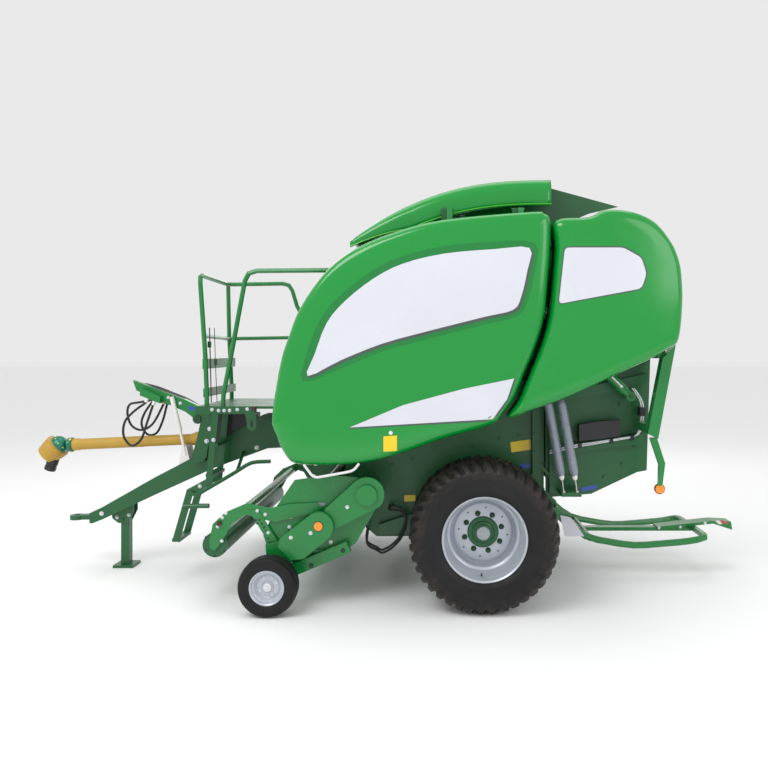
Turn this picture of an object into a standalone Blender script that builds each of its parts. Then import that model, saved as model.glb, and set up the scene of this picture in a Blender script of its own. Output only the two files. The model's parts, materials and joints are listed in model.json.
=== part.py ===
"""Round baler, towed, with a variable bale chamber: the solids of every sub-part at rest.

Frame: metres, +Z up, ground at z = 0, -X is the travel direction, -Y is the machine's left side.
The machine stands parked on its two wheels, its pickup gauge wheels and its drawbar stand.
Each joint has an empty on its axis, and the pieces that move with it are parented to that empty.
"""

import math

import bmesh
import bpy
from mathutils import Matrix, Vector

# ---------------------------------------------------------------- driving dimensions (metres)
GAP = 0.0003                    # clearance between pieces that touch
RUNNING_GAP = 0.0008            # radial clearance of a pin or shaft in its bore

TYRE_DIAMETER = 1.060           # flotation tyre on a 22.5 inch rim, at its loaded size
TYRE_WIDTH = 0.560
RIM_FLANGE_DIAMETER = 0.597     # 22.5 inch rim
WHEEL_X = 0.800
WHEEL_Y = 1.030                 # centre plane of a wheel from the machine's centre plane
AXLE_BEAM = 0.110               # square axle beam
HUB_DIAMETER = 0.223

GAUGE_DIAMETER = 0.412          # 16 x 6.50-8 gauge wheel
GAUGE_WIDTH = 0.165
GAUGE_X = -0.700
GAUGE_Y = 1.240

CHAMBER_WIDTH = 1.230           # between the chamber walls
WALL_PLATE = 0.010
RIB_DEPTH = 0.050               # folded stiffeners outside the wall plate
SPLIT_X = 1.300                 # where the tailgate meets the fixed front half
SPLIT_GAP = 0.012
TAILGATE_PIVOT = (1.262, 2.815)
PIVOT_PIN = 0.030               # radius

PANEL_Y = 1.215                 # outer face of doors and rear panels
PANEL_SKIRT_Y = 0.985           # inner edge of their rolled-in skirts
PANEL_SHEET = 0.006
DOOR_HINGE = (0.945, 2.872)     # |y| and z of the gull-wing hinge line
ROOF_HALF_WIDTH = 0.900
ROOF_SHEET = 0.012

DRAWBAR_HALF_WIDTH = 0.110
HITCH_RING_X = -2.610
HITCH_RING_Z = 0.414
HITCH_RING_INNER = 0.025
HITCH_RING_OUTER = 0.058

STAND_PIVOT = (-2.205, 0.400)
STAND_LEG_X = -2.187
STAND_TUBE = 0.070              # square leg
STAND_FOOT = 0.170

PTO_PIVOT = (-1.480, 1.086)
PTO_FRONT = (-2.770, 1.027)
PTO_TUBE_RADIUS = 0.047

PLATFORM_Z = 1.396              # top of the loading platform
PLATFORM_HALF_WIDTH = 0.500
RAIL_RADIUS = 0.019

PICKUP_AXIS = (-0.030, 0.812)   # pickup swings about the rotor shaft
PICKUP_HALF_WIDTH = 1.000       # inside its side plates
REEL_AXIS = (-0.550, 0.430)
REEL_TIP_RADIUS = 0.265
BAND_RADIUS = 0.175
BAND_PITCH = 0.125
BAND_WIDTH = 0.060
WINDGUARD_PIVOT = (-0.400, 0.700)
WINDGUARD_ROLLER = (-1.139, 0.430)
WINDGUARD_ROLLER_RADIUS = 0.090
ROTOR_RADIUS = 0.240

LADDER_Y = (-0.500, -0.200)     # outer faces of the ladder's stringers
LADDER_HINGE = (-1.491, 0.717)

RAMP_HINGE = (1.400, 0.560)
RAMP_TUBE_RADIUS = 0.027
HOSE_RADIUS = 0.010

AXLE_Z = TYRE_DIAMETER / 2
WALL_IN = CHAMBER_WIDTH / 2
WALL_OUT = WALL_IN + WALL_PLATE
LEFT, RIGHT = -1, 1
SIDES = (("left", LEFT), ("right", RIGHT))

for old in list(bpy.data.objects):
    bpy.data.objects.remove(old, do_unlink=True)


# ---------------------------------------------------------------- materials
def material(name, colour, roughness, metallic=0.0):
    made = bpy.data.materials.new(name)
    made.use_nodes = True
    shader = made.node_tree.nodes["Principled BSDF"]
    shader.inputs["Base Color"].default_value = (*colour, 1)
    shader.inputs["Roughness"].default_value = roughness
    shader.inputs["Metallic"].default_value = metallic
    return made


PANEL_GREEN = material("panel_green", (0.01, 0.30, 0.05), 0.20)
FRAME_GREEN = material("frame_green", (0.01, 0.12, 0.03), 0.40)
BRIGHT_GREEN = material("bright_green", (0.02, 0.28, 0.05), 0.35)
RIM_SILVER = material("rim_silver", (0.55, 0.58, 0.64), 0.35, 0.3)
TYRE_RUBBER = material("tyre_rubber", (0.020, 0.019, 0.019), 0.75)
BELT_RUBBER = material("belt_rubber", (0.018, 0.018, 0.018), 0.80)
PTO_YELLOW = material("pto_yellow", (0.50, 0.30, 0.06), 0.45)
BLACK_PLASTIC = material("black_plastic", (0.015, 0.015, 0.018), 0.50)
SPRING_STEEL = material("spring_steel", (0.32, 0.35, 0.40), 0.40, 0.6)
BARE_STEEL = material("bare_steel", (0.50, 0.50, 0.52), 0.35, 0.9)
HOSE_RUBBER = material("hose_rubber", (0.012, 0.012, 0.013), 0.55)
WHITE_PAINT = material("white_paint", (0.75, 0.73, 0.70), 0.45)


# ---------------------------------------------------------------- joints as empties
JOINTS = {
    "root": (0, 0, 0),
    "wheel_left": (WHEEL_X, -WHEEL_Y, AXLE_Z),
    "wheel_right": (WHEEL_X, WHEEL_Y, AXLE_Z),
    "pickup": (PICKUP_AXIS[0], 0, PICKUP_AXIS[1]),
    "pickup_reel": (REEL_AXIS[0], 0, REEL_AXIS[1]),
    "windguard": (WINDGUARD_PIVOT[0], 0, WINDGUARD_PIVOT[1]),
    "windguard_roller": (WINDGUARD_ROLLER[0], 0, WINDGUARD_ROLLER[1]),
    "gauge_left": (GAUGE_X, -GAUGE_Y, GAUGE_DIAMETER / 2),
    "gauge_right": (GAUGE_X, GAUGE_Y, GAUGE_DIAMETER / 2),
    "feed_rotor": (PICKUP_AXIS[0], 0, PICKUP_AXIS[1]),
    "door_left": (0.5, -DOOR_HINGE[0], DOOR_HINGE[1]),
    "door_right": (0.5, DOOR_HINGE[0], DOOR_HINGE[1]),
    "tailgate": (TAILGATE_PIVOT[0], 0, TAILGATE_PIVOT[1]),
    "ladder_step": (LADDER_HINGE[0], 0, LADDER_HINGE[1]),
    "stand": (STAND_PIVOT[0], 0, STAND_PIVOT[1]),
    "bale_ramp": (RAMP_HINGE[0], 0, RAMP_HINGE[1]),
    "pto": (PTO_PIVOT[0], 0, PTO_PIVOT[1]),
    "pto_yoke": (PTO_FRONT[0], 0, PTO_FRONT[1]),
}
RIDES_ON = {
    "pickup_reel": "pickup",
    "windguard": "pickup",
    "windguard_roller": "windguard",
    "gauge_left": "pickup",
    "gauge_right": "pickup",
    "pto_yoke": "pto",
}


def joint_empty(name):
    """The empty on a joint's axis, made the first time it is asked for."""
    key = f"axis.{name}"
    if key in bpy.data.objects:
        return bpy.data.objects[key]
    empty = bpy.data.objects.new(key, None)
    bpy.context.scene.collection.objects.link(empty)
    place = Vector(JOINTS[name])
    if name != "root":
        parent = RIDES_ON.get(name, "root")
        empty.parent = joint_empty(parent)
        place = place - Vector(JOINTS[parent])
    empty.location = place
    return empty


# ---------------------------------------------------------------- shapes, each a closed bmesh
def prism(outline, start, end, axis="y"):
    """An outline extruded along an axis. The outline is (x, z) for y, (x, y) for z, (y, z) for x."""
    def point(pair, along):
        a, b = pair
        return {"y": (a, along, b), "z": (a, b, along), "x": (along, a, b)}[axis]

    mesh = bmesh.new()
    face = mesh.faces.new([mesh.verts.new(point(pair, start)) for pair in outline])
    grown = bmesh.ops.extrude_face_region(mesh, geom=[face])
    moved = [item for item in grown["geom"] if isinstance(item, bmesh.types.BMVert)]
    step = {"y": (0, end - start, 0), "z": (0, 0, end - start), "x": (end - start, 0, 0)}[axis]
    bmesh.ops.translate(mesh, verts=moved, vec=step)
    bmesh.ops.recalc_face_normals(mesh, faces=mesh.faces)
    return mesh


def block(x, y, z):
    """A box from three (low, high) pairs."""
    return prism([(x[0], z[0]), (x[1], z[0]), (x[1], z[1]), (x[0], z[1])], y[0], y[1])


def turned(profile, centre, sides, axis="y"):
    """A closed (radius, along) profile turned about an axis through centre."""
    mesh = bmesh.new()
    rings = []
    for step in range(sides):
        angle = math.tau * step / sides
        across, up = math.cos(angle), math.sin(angle)
        ring = []
        for radius, along in profile:
            spot = {
                "y": (radius * across, along, radius * up),
                "x": (along, radius * across, radius * up),
                "z": (radius * across, radius * up, along),
            }[axis]
            ring.append(mesh.verts.new(Vector(spot) + Vector(centre)))
        rings.append(ring)
    count = len(profile)
    for step in range(sides):
        one, two = rings[step], rings[(step + 1) % sides]
        for index in range(count):
            nxt = (index + 1) % count
            mesh.faces.new((one[index], one[nxt], two[nxt], two[index]))
    bmesh.ops.remove_doubles(mesh, verts=mesh.verts, dist=1e-6)
    bmesh.ops.recalc_face_normals(mesh, faces=mesh.faces)
    return mesh


def rod(start, end, radius, sides=12):
    """A solid round bar between two points."""
    return sweep([Vector(start), Vector(end)], radius, sides)


def sweep(points, radius, sides=10):
    """A round bar along a path, mitred at each point."""
    points = [Vector(point) for point in points]
    mesh = bmesh.new()
    first = (points[1] - points[0]).normalized()
    side = first.orthogonal().normalized()
    rings = []
    for index, point in enumerate(points):
        before = (point - points[index - 1]).normalized() if index else first
        after = (points[index + 1] - point).normalized() if index + 1 < len(points) else before
        tangent = (before + after).normalized()
        side = (side - tangent * side.dot(tangent)).normalized()
        up = tangent.cross(side)
        stretch = 1 / max(0.4, math.cos(before.angle(after) / 2)) if before.angle(after) > 1e-6 else 1
        bend = (after - before)
        bend = bend.normalized() if bend.length > 1e-6 else side
        ring = []
        for step in range(sides):
            angle = math.tau * step / sides
            offset = side * math.cos(angle) * radius + up * math.sin(angle) * radius
            offset += bend * offset.dot(bend) * (stretch - 1)
            ring.append(mesh.verts.new(point + offset))
        rings.append(ring)
    for one, two in zip(rings, rings[1:]):
        for index in range(sides):
            nxt = (index + 1) % sides
            mesh.faces.new((one[index], one[nxt], two[nxt], two[index]))
    mesh.faces.new(rings[0][::-1])
    mesh.faces.new(rings[-1])
    bmesh.ops.recalc_face_normals(mesh, faces=mesh.faces)
    return mesh


def flat_bar(start, end, y, thickness, width):
    """A flat bar between two (x, z) points, its width across the line, its thickness along y."""
    line = Vector((end[0] - start[0], end[1] - start[1])).normalized()
    off = Vector((-line.y, line.x)) * width / 2
    corners = [
        (start[0] + off.x, start[1] + off.y), (end[0] + off.x, end[1] + off.y),
        (end[0] - off.x, end[1] - off.y), (start[0] - off.x, start[1] - off.y),
    ]
    return prism(corners, y - thickness / 2, y + thickness / 2)


def rounded(path, radius, steps=4):
    """A path of 3D points with each inner corner replaced by an arc of that radius."""
    points = [Vector(point) for point in path]
    smooth = [points[0]]
    for before, corner, after in zip(points, points[1:], points[2:]):
        into, out = (before - corner), (after - corner)
        reach = min(radius, into.length / 2.1, out.length / 2.1)
        start, end = corner + into.normalized() * reach, corner + out.normalized() * reach
        for step in range(steps + 1):
            t = step / steps
            smooth.append(start * (1 - t) ** 2 + corner * 2 * t * (1 - t) + end * t ** 2)
    smooth.append(points[-1])
    return smooth


def inset(outline, distance):
    """An outline moved inwards by a distance, corner by corner."""
    count = len(outline)
    area = sum(outline[i][0] * outline[(i + 1) % count][1] - outline[(i + 1) % count][0] * outline[i][1]
               for i in range(count))
    turn = 1 if area > 0 else -1
    moved = []
    for index in range(count):
        here = Vector(outline[index])
        into = (here - Vector(outline[index - 1])).normalized()
        out = (Vector(outline[(index + 1) % count]) - here).normalized()
        normal_in = Vector((-into.y, into.x)) * turn
        normal_out = Vector((-out.y, out.x)) * turn
        middle = (normal_in + normal_out).normalized()
        moved.append(tuple(here + middle * distance / max(0.5, middle.dot(normal_in))))
    return moved


def pan(outline, side, levels, thickness):
    """A pressed panel: loops of the outline, each inset and set at a |y|, closed over, given a wall."""
    mesh = bmesh.new()
    loops = []
    for distance, depth in levels:
        loops.append([mesh.verts.new((x, side * depth, z)) for x, z in inset(outline, distance)])
    for one, two in zip(loops, loops[1:]):
        for index in range(len(outline)):
            nxt = (index + 1) % len(outline)
            mesh.faces.new((one[index], one[nxt], two[nxt], two[index]))
    mesh.faces.new(loops[-1])
    bmesh.ops.recalc_face_normals(mesh, faces=mesh.faces)
    outward = max(mesh.faces, key=lambda face: len(face.verts))
    if outward.normal.y * side < 0:
        bmesh.ops.reverse_faces(mesh, faces=mesh.faces)
    return solidified(mesh, thickness)


def as_object(mesh, name="helper"):
    data = bpy.data.meshes.new(name)
    mesh.to_mesh(data)
    mesh.free()
    made = bpy.data.objects.new(name, data)
    bpy.context.scene.collection.objects.link(made)
    return made


def evaluated_bmesh(made):
    graph = bpy.context.evaluated_depsgraph_get()
    graph.update()
    mesh = bmesh.new()
    mesh.from_mesh(made.evaluated_get(graph).to_mesh())
    made.evaluated_get(graph).to_mesh_clear()
    return mesh


def solidified(mesh, thickness):
    """An open sheet given a wall behind its faces."""
    sheet = as_object(mesh)
    wall = sheet.modifiers.new("Wall", "SOLIDIFY")
    wall.thickness = thickness
    wall.offset = -1
    wall.use_even_offset = True
    result = evaluated_bmesh(sheet)
    bpy.data.objects.remove(sheet)
    bmesh.ops.recalc_face_normals(result, faces=result.faces)
    return result


def combine(shapes, operation="UNION"):
    """Joins overlapping closed shapes into one, or takes the later ones out of the first."""
    if len(shapes) == 1:
        return shapes[0]
    base = as_object(shapes[0])
    helpers = []
    for shape in shapes[1:]:
        helper = as_object(shape)
        helper.hide_render = True
        helper.display_type = "WIRE"
        helpers.append(helper)
        join = base.modifiers.new("Combine", "BOOLEAN")
        join.operation = operation
        join.solver = "EXACT"
        join.object = helper
    result = evaluated_bmesh(base)
    for made in [base, *helpers]:
        bpy.data.objects.remove(made)
    return result


def without(shape, *cutters):
    return combine([shape, *cutters], "DIFFERENCE")


def piece(name, shapes, finish, body="root", smooth=40):
    """Joins the shapes and makes them one named object that rides on a joint's empty."""
    mesh = combine(list(shapes))
    bmesh.ops.dissolve_degenerate(mesh, dist=1e-6, edges=mesh.edges)
    mesh.transform(Matrix.Translation(-Vector(JOINTS[body])))
    made = as_object(mesh, name)
    made.name = name
    made.data.name = name
    made.data.materials.append(finish)
    made.data.shade_smooth()
    made.data.set_sharp_from_angle(angle=math.radians(smooth))
    made.parent = joint_empty(body)
    return made


def arc(centre, radius, start, end, steps):
    """Points of an arc in degrees, ends included."""
    return [
        (centre[0] + radius * math.cos(math.radians(start + (end - start) * step / steps)),
         centre[1] + radius * math.sin(math.radians(start + (end - start) * step / steps)))
        for step in range(steps + 1)
    ]


def span(side, low, high):
    """The (low, high) pair of y values at |y| from low to high on one side."""
    return (side * high, side * low) if side < 0 else (side * low, side * high)


def grid_sheet(columns, rows, spot, filled, thickness_spot):
    """A closed sheet from a grid of cells, where filled(column, row) says which cells are there."""
    mesh = bmesh.new()
    outer, inner = {}, {}

    def corner(table, place, key):
        if key not in table:
            table[key] = mesh.verts.new(place(columns[key[0]], rows[key[1]]))
        return table[key]

    cells = {(i, j) for i in range(len(columns) - 1) for j in range(len(rows) - 1) if filled(i, j)}
    for i, j in cells:
        around = [(i, j), (i + 1, j), (i + 1, j + 1), (i, j + 1)]
        top = [corner(outer, spot, key) for key in around]
        low = [corner(inner, thickness_spot, key) for key in around]
        mesh.faces.new(top)
        mesh.faces.new(low[::-1])
        beside = [(i, j - 1), (i + 1, j), (i, j + 1), (i - 1, j)]
        for edge, neighbour in enumerate(beside):
            if neighbour not in cells:
                nxt = (edge + 1) % 4
                mesh.faces.new((top[nxt], top[edge], low[edge], low[nxt]))
    bmesh.ops.recalc_face_normals(mesh, faces=mesh.faces)
    return mesh


def band(path, thickness):
    """The outline of a strip of even thickness along an open (x, z) path, to its left side."""
    points = [Vector(point) for point in path]
    offset = []
    for index, point in enumerate(points):
        before = (point - points[index - 1]).normalized() if index else None
        after = (points[index + 1] - point).normalized() if index + 1 < len(points) else None
        along = ((before or after) + (after or before)).normalized()
        normal = Vector((-along.y, along.x))
        scale = 1 / max(0.5, along.dot(after or before))
        offset.append(tuple(point + normal * thickness * scale))
    return [tuple(point) for point in points] + offset[::-1]


# ---------------------------------------------------------------- running gear
def wheel(name, side, body):
    """A wide tyre and its dished silver rim with the hub."""
    radius, half = TYRE_DIAMETER / 2, TYRE_WIDTH / 2
    seat = RIM_FLANGE_DIAMETER / 2 - 0.0085
    centre = (WHEEL_X, side * WHEEL_Y, AXLE_Z)
    shape = [(seat, 0.84), (seat + 0.050, 0.95), (radius - 0.120, 1.0), (radius - 0.040, 0.95),
             (radius, 0.72)]
    profile = [(r, -u * half) for r, u in shape] + [(r, u * half) for r, u in reversed(shape)]
    piece(f"tyre_{name}", [turned(profile, centre, 40)], TYRE_RUBBER, body)

    lip, bead = RIM_FLANGE_DIAMETER / 2, 0.84 * half
    hub, bore = HUB_DIAMETER / 2, AXLE_STUB_RADIUS + RUNNING_GAP
    barrel = seat - 0.0015
    front = [(0, 0.060), (0.050, 0.052), (0.050, 0.020), (hub, 0.012), (hub, -0.030), (0.216, -0.034),
             (0.240, 0.070), (0.262, 0.210), (lip - 0.013, bead + 0.020), (lip, bead + 0.014), (barrel, bead)]
    back = [(barrel, -bead), (lip, -bead - 0.014), (lip - 0.013, -bead - 0.020), (0.250, -0.110),
            (0.222, -0.052), (0.100, -0.048), (0.085, -0.200), (bore, -0.200),
            (bore, AXLE_STUB_END - WHEEL_Y + 0.0005), (0, AXLE_STUB_END - WHEEL_Y + 0.0005)]
    rim = [(r, side * u) for r, u in front + back]
    piece(f"rim_{name}", [turned(rim, centre, 28)], RIM_SILVER, body)


AXLE_STUB_RADIUS = 0.045
AXLE_STUB_END = WHEEL_Y - 0.020
AXLE_BEAM_END = 0.790


def axle():
    half = AXLE_BEAM / 2
    beam = block((WHEEL_X - half, WHEEL_X + half), (-AXLE_BEAM_END, AXLE_BEAM_END),
                 (AXLE_Z - half, AXLE_Z + half))
    stub = rod((WHEEL_X, -AXLE_STUB_END, AXLE_Z), (WHEEL_X, AXLE_STUB_END, AXLE_Z), AXLE_STUB_RADIUS, 28)
    piece("axle", [beam, stub], FRAME_GREEN)


# ---------------------------------------------------------------- chassis and chamber walls
CHASSIS_LOW = AXLE_Z + AXLE_BEAM / 2 + GAP
CHASSIS_TOP = 0.720
RAIL_X = (0.335, 1.285)
RAIL_Y = (WALL_IN - 0.060, WALL_OUT - 0.0045)
CROSS_BEAM_X = (-0.620, -0.500)
CROSS_BEAM_Z = (1.030, 1.300)


def chassis():
    """Two side rails and three cross members, with lugs for the bale ramp."""
    shapes = []
    for _, side in SIDES:
        shapes.append(block(RAIL_X, span(side, *RAIL_Y), (CHASSIS_LOW, CHASSIS_TOP)))
        lug = [(1.22, CHASSIS_LOW + 0.01), (1.22, 0.70), (1.33, 0.69), (RAMP_HINGE[0] + 0.030, 0.60),
               (RAMP_HINGE[0] + 0.030, 0.53), (RAMP_HINGE[0] - 0.030, 0.53)]
        inner = RAMP_HALF - 0.040
        plate = prism(lug, *span(side, inner, inner + 0.012))
        pin = rod((RAMP_HINGE[0], side * inner, RAMP_HINGE[1]),
                  (RAMP_HINGE[0], side * (RAMP_HALF + 0.022), RAMP_HINGE[1]), 0.012)
        shapes += [plate, pin]
    for x in ((0.40, 0.48), (WHEEL_X - 0.050, WHEEL_X + 0.050), (1.19, 1.27)):
        shapes.append(block(x, (-RAIL_Y[0] - 0.02, RAIL_Y[0] + 0.02), (CHASSIS_LOW, CHASSIS_TOP - 0.010)))
    piece("chassis", shapes, FRAME_GREEN)


FRONT_WALL = [
    (CROSS_BEAM_X[1] + GAP, 1.02), (CROSS_BEAM_X[1] + GAP, 1.62), (-0.42, 1.95), (-0.26, 2.25),
    (0.00, 2.50), (0.40, 2.68), (0.90, 2.78), (SPLIT_X - SPLIT_GAP / 2, 2.80),
    (SPLIT_X - SPLIT_GAP / 2, CHASSIS_TOP + GAP), (RAIL_X[0] - GAP, CHASSIS_TOP + GAP), (0.33, 0.42),
    (0.25, 0.40), (0.00, 0.40), (-0.12, 0.50), (-0.20, 0.72), (-0.25, 0.98),
]
HINGE_PLATE_Y = (0.690, 0.700)
DOOR_HINGE_X = (0.50, 1.02)
DOOR_KNUCKLE = 0.040


def roof_top(x):
    """Height of the roof's ridge at x: a rising nose that flattens towards the rear."""
    nose, tail = ROOF_X
    share = (x - nose) / (tail - nose)
    return ROOF_NOSE_Z + (ROOF_RIDGE_Z - ROOF_NOSE_Z) * (1 - (1 - share) ** 2.6)


ROOF_X = (-0.176, 1.315)
ROOF_NOSE_Z = 2.660
ROOF_RIDGE_Z = 3.126
ROOF_STATIONS = [ROOF_X[0] + (ROOF_X[1] - ROOF_X[0]) * step / 9 for step in range(10)]


def roof_under(x):
    """Height of a post that ends just under the roof's sheet, which runs straight between its stations."""
    for low, high in zip(ROOF_STATIONS, ROOF_STATIONS[1:]):
        if low <= x <= high:
            share = (x - low) / (high - low)
            return roof_top(low) * (1 - share) + roof_top(high) * share - ROOF_SHEET - 2 * GAP
    return roof_top(x)


def chamber_wall(name, side):
    """The fixed half of a chamber wall with its stiffeners, rotor bearing, roof posts and door hinges."""
    plate = prism(FRONT_WALL, *span(side, WALL_IN, WALL_OUT))
    rib = span(side, WALL_OUT - 0.004, WALL_OUT + RIB_DEPTH)
    shapes = [plate]
    shapes.append(prism([(-0.45, 1.10), (-0.45, 1.60), (-0.39, 1.60), (-0.39, 1.10)], *rib))
    shapes.append(prism([(0.02, 0.42), (0.02, 0.50), (1.24, 0.90), (1.24, 0.82), (0.31, 0.52), (0.30, 0.44)],
                        *rib))
    shapes.append(prism([(1.20, 0.76), (1.26, 0.76), (1.26, 2.66), (1.20, 2.66)], *rib))
    shapes.append(prism([(-0.42, 1.42), (1.22, 1.62), (1.22, 1.54), (-0.42, 1.34)], *rib))
    shapes.append(prism([(-0.20, 2.20), (1.22, 2.48), (1.22, 2.40), (-0.16, 2.12)], *rib))
    bearing = rod((PICKUP_AXIS[0], side * (WALL_OUT - 0.005), PICKUP_AXIS[1]),
                  (PICKUP_AXIS[0], side * (PICKUP_HALF_WIDTH - GAP), PICKUP_AXIS[1]), 0.060, 20)
    stub = rod((PICKUP_AXIS[0], side * 0.70, PICKUP_AXIS[1]),
               (PICKUP_AXIS[0], side * (PICKUP_HALF_WIDTH + 0.030), PICKUP_AXIS[1]), PICKUP_STUB, 24)
    shapes += [bearing, stub]
    for x in (0.24, 1.06):
        post = [(x - 0.02, 2.50), (x + 0.02, 2.50), (x + 0.02, roof_under(x + 0.02)),
                (x - 0.02, roof_under(x - 0.02))]
        shapes.append(prism(post, *span(side, WALL_IN, WALL_IN + 0.040)))
    y_hinge, z_hinge = DOOR_HINGE
    arm = [(WALL_OUT - 0.005, 2.500), (WALL_OUT - 0.005, 2.580), (0.885, 2.745), (0.914, 2.775),
           (y_hinge - 0.012, z_hinge + 0.008), (y_hinge + 0.010, z_hinge + 0.008), (y_hinge + 0.004, 2.760),
           (0.900, 2.690)]
    for x in DOOR_HINGE_X:
        shapes.append(prism([(side * y, z) for y, z in arm], x, x + DOOR_KNUCKLE, "x"))
    hinge = [(1.10, 2.66), (1.10, 2.98), (1.200, 3.070), (1.341, 3.075), (1.852, 2.935), (1.632, 2.884),
             (1.33, 2.76), (1.30, 2.66)]
    shapes.append(prism(hinge, *span(side, *HINGE_PLATE_Y)))
    shapes.append(block((1.12, 1.19), span(side, WALL_OUT - 0.005, HINGE_PLATE_Y[0] + 0.004), (2.66, 2.76)))
    pivot = (TAILGATE_PIVOT[0], 0, TAILGATE_PIVOT[1])
    shapes.append(rod((pivot[0], side * (WALL_OUT + 0.006), pivot[2]),
                      (pivot[0], side * (HINGE_PLATE_Y[0] + 0.004), pivot[2]), PIVOT_PIN, 24))
    shapes.append(rod((CYLINDER_TOP[0], side * (WALL_OUT - 0.004), CYLINDER_TOP[1]),
                      (CYLINDER_TOP[0], side * (CYLINDER_Y - CYLINDER_EYE / 2 - 0.003), CYLINDER_TOP[1]),
                      0.030))
    piece(f"chamber_wall_{name}", shapes, FRAME_GREEN)


PICKUP_STUB = 0.040


def net_box():
    """The housing of the net rolls across the front of the chamber."""
    outline = [(-0.560, 1.72), (-0.630, 1.95), (-0.540, 2.24), (-0.300, 2.47), (-0.120, 2.46),
               (-0.230, 2.24), (-0.400, 1.94), (-0.470, 1.72)]
    piece("net_box", [prism(outline, -WALL_IN + GAP, WALL_IN - GAP)], BRIGHT_GREEN)


def front_belts():
    """The belt run that closes the front of the chamber, over its two rollers."""
    path = [(-0.385, 1.06), (-0.455, 1.25), (-0.462, 1.45), (-0.445, 1.69)]
    half = WALL_IN - GAP
    sheet = prism(band(path, -0.014), -half + 0.02, half - 0.02)
    low = rod((-0.330, -half, 1.085), (-0.330, half, 1.085), 0.058, 20)
    top = rod((-0.388, -half, 1.655), (-0.388, half, 1.655), 0.050, 20)
    piece("front_belts", [sheet, low, top], BELT_RUBBER)


def roof_cover():
    """The glossy roof: a curved sheet with turned-down sides."""
    nose = ROOF_X[0]
    half = ROOF_HALF_WIDTH
    sides = [(half, -0.215), (half, -0.10), (half - 0.02, -0.045), (half - 0.07, -0.012), (half - 0.18, 0.0)]
    across = [(-y, drop) for y, drop in sides] + [(y, drop) for y, drop in reversed(sides)]

    def drop_at(x, drop):
        share = min(1, (x - nose) / 0.45)
        return drop * (0.28 + 0.72 * share)

    def outside(x, station):
        y, drop = station
        return (x, y, roof_top(x) + drop_at(x, drop))

    def inside(x, station):
        y, drop = station
        inner = y - math.copysign(ROOF_SHEET, y) if abs(y) > half - 0.05 else y
        return (x, inner, roof_top(x) + drop_at(x, drop) - (0 if drop < -0.05 else ROOF_SHEET))

    sheet = grid_sheet(ROOF_STATIONS, across, outside, lambda i, j: True, inside)
    piece("roof_cover", [sheet], PANEL_GREEN, smooth=50)


# ---------------------------------------------------------------- doors and rear panels
DOOR_OUTLINE = [
    (-0.685, 1.274), (-0.698, 1.386), (-0.640, 1.743), (-0.584, 1.928), (-0.498, 2.142), (-0.326, 2.387),
    (-0.112, 2.556), (0.173, 2.678), (0.516, 2.764), (1.129, 2.820), (1.229, 2.806), (1.272, 2.757),
    (1.272, 2.571), (1.258, 2.373), (1.229, 2.086), (1.173, 1.885), (1.087, 1.673), (1.015, 1.500),
    (0.930, 1.386), (0.844, 1.309), (0.516, 1.214), (0.273, 1.129), (0.030, 1.058), (-0.198, 1.030),
    (-0.462, 1.030), (-0.584, 1.072),
]
REAR_OUTLINE = [
    (1.304, 2.756), (1.539, 2.782), (1.641, 2.830), (1.770, 2.834), (1.910, 2.799), (2.026, 2.729),
    (2.127, 2.599), (2.176, 2.485), (2.197, 2.373), (2.204, 2.170), (2.176, 1.914), (2.097, 1.842),
    (1.910, 1.743), (1.755, 1.673), (1.412, 1.514), (1.182, 1.428), (0.975, 1.362), (1.050, 1.490),
    (1.122, 1.665), (1.207, 1.878), (1.263, 2.083), (1.292, 2.372), (1.306, 2.570),
]
PAN_LEVELS = [(0.0, PANEL_SKIRT_Y), (0.0, PANEL_Y - 0.075), (0.014, PANEL_Y - 0.030), (0.042, PANEL_Y)]


DOOR_HANDLE = [
    (-0.466, 1.1815, 1.0364), (-0.406, 1.196, 0.962), (-0.374, 1.197, 0.948), (-0.138, 1.197, 0.990),
    (-0.107, 1.196, 1.006), (-0.078, 1.1815, 1.0430),
]
DOOR_HANDLE_RADIUS = 0.0095


def side_door(name, side):
    shell = pan(DOOR_OUTLINE, side, PAN_LEVELS, PANEL_SHEET)
    arms = []
    for x in DOOR_HINGE_X:
        y_hinge, z_hinge = DOOR_HINGE
        arm = [(side * (y_hinge - 0.012), z_hinge + 0.010), (side * (y_hinge + 0.014), z_hinge + 0.010),
               (side * (PANEL_SKIRT_Y + 0.030), 2.72 + 0.10 * (x - 0.28)),
               (side * (PANEL_SKIRT_Y + 0.030), 2.60 + 0.12 * (x - 0.28)),
               (side * (y_hinge - 0.004), z_hinge - 0.020)]
        arms.append(prism(arm, x + DOOR_KNUCKLE + GAP, x + 2 * DOOR_KNUCKLE, "x"))
    piece(f"side_door_{name}", [shell, *arms], PANEL_GREEN, f"door_{name}", smooth=50)


def door_handle(name, side):
    """The bent grab tube under a door's lower edge."""
    points = [(x, side * y, z) for x, y, z in DOOR_HANDLE]
    piece(f"door_handle_{name}", [sweep(points, DOOR_HANDLE_RADIUS)], WHITE_PAINT, f"door_{name}")


def rear_panel(name, side):
    shell = pan(REAR_OUTLINE, side, PAN_LEVELS, PANEL_SHEET)
    brackets = []
    for x, z in ((1.55, 2.30), (2.02, 2.10), (1.45, 1.64)):
        brackets.append(block((x - 0.02, x + 0.02), span(side, WALL_OUT + GAP, PANEL_Y - 0.005),
                              (z - 0.03, z + 0.03)))
    piece(f"rear_panel_{name}", [shell, *brackets], PANEL_GREEN, "tailgate", smooth=50)


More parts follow.
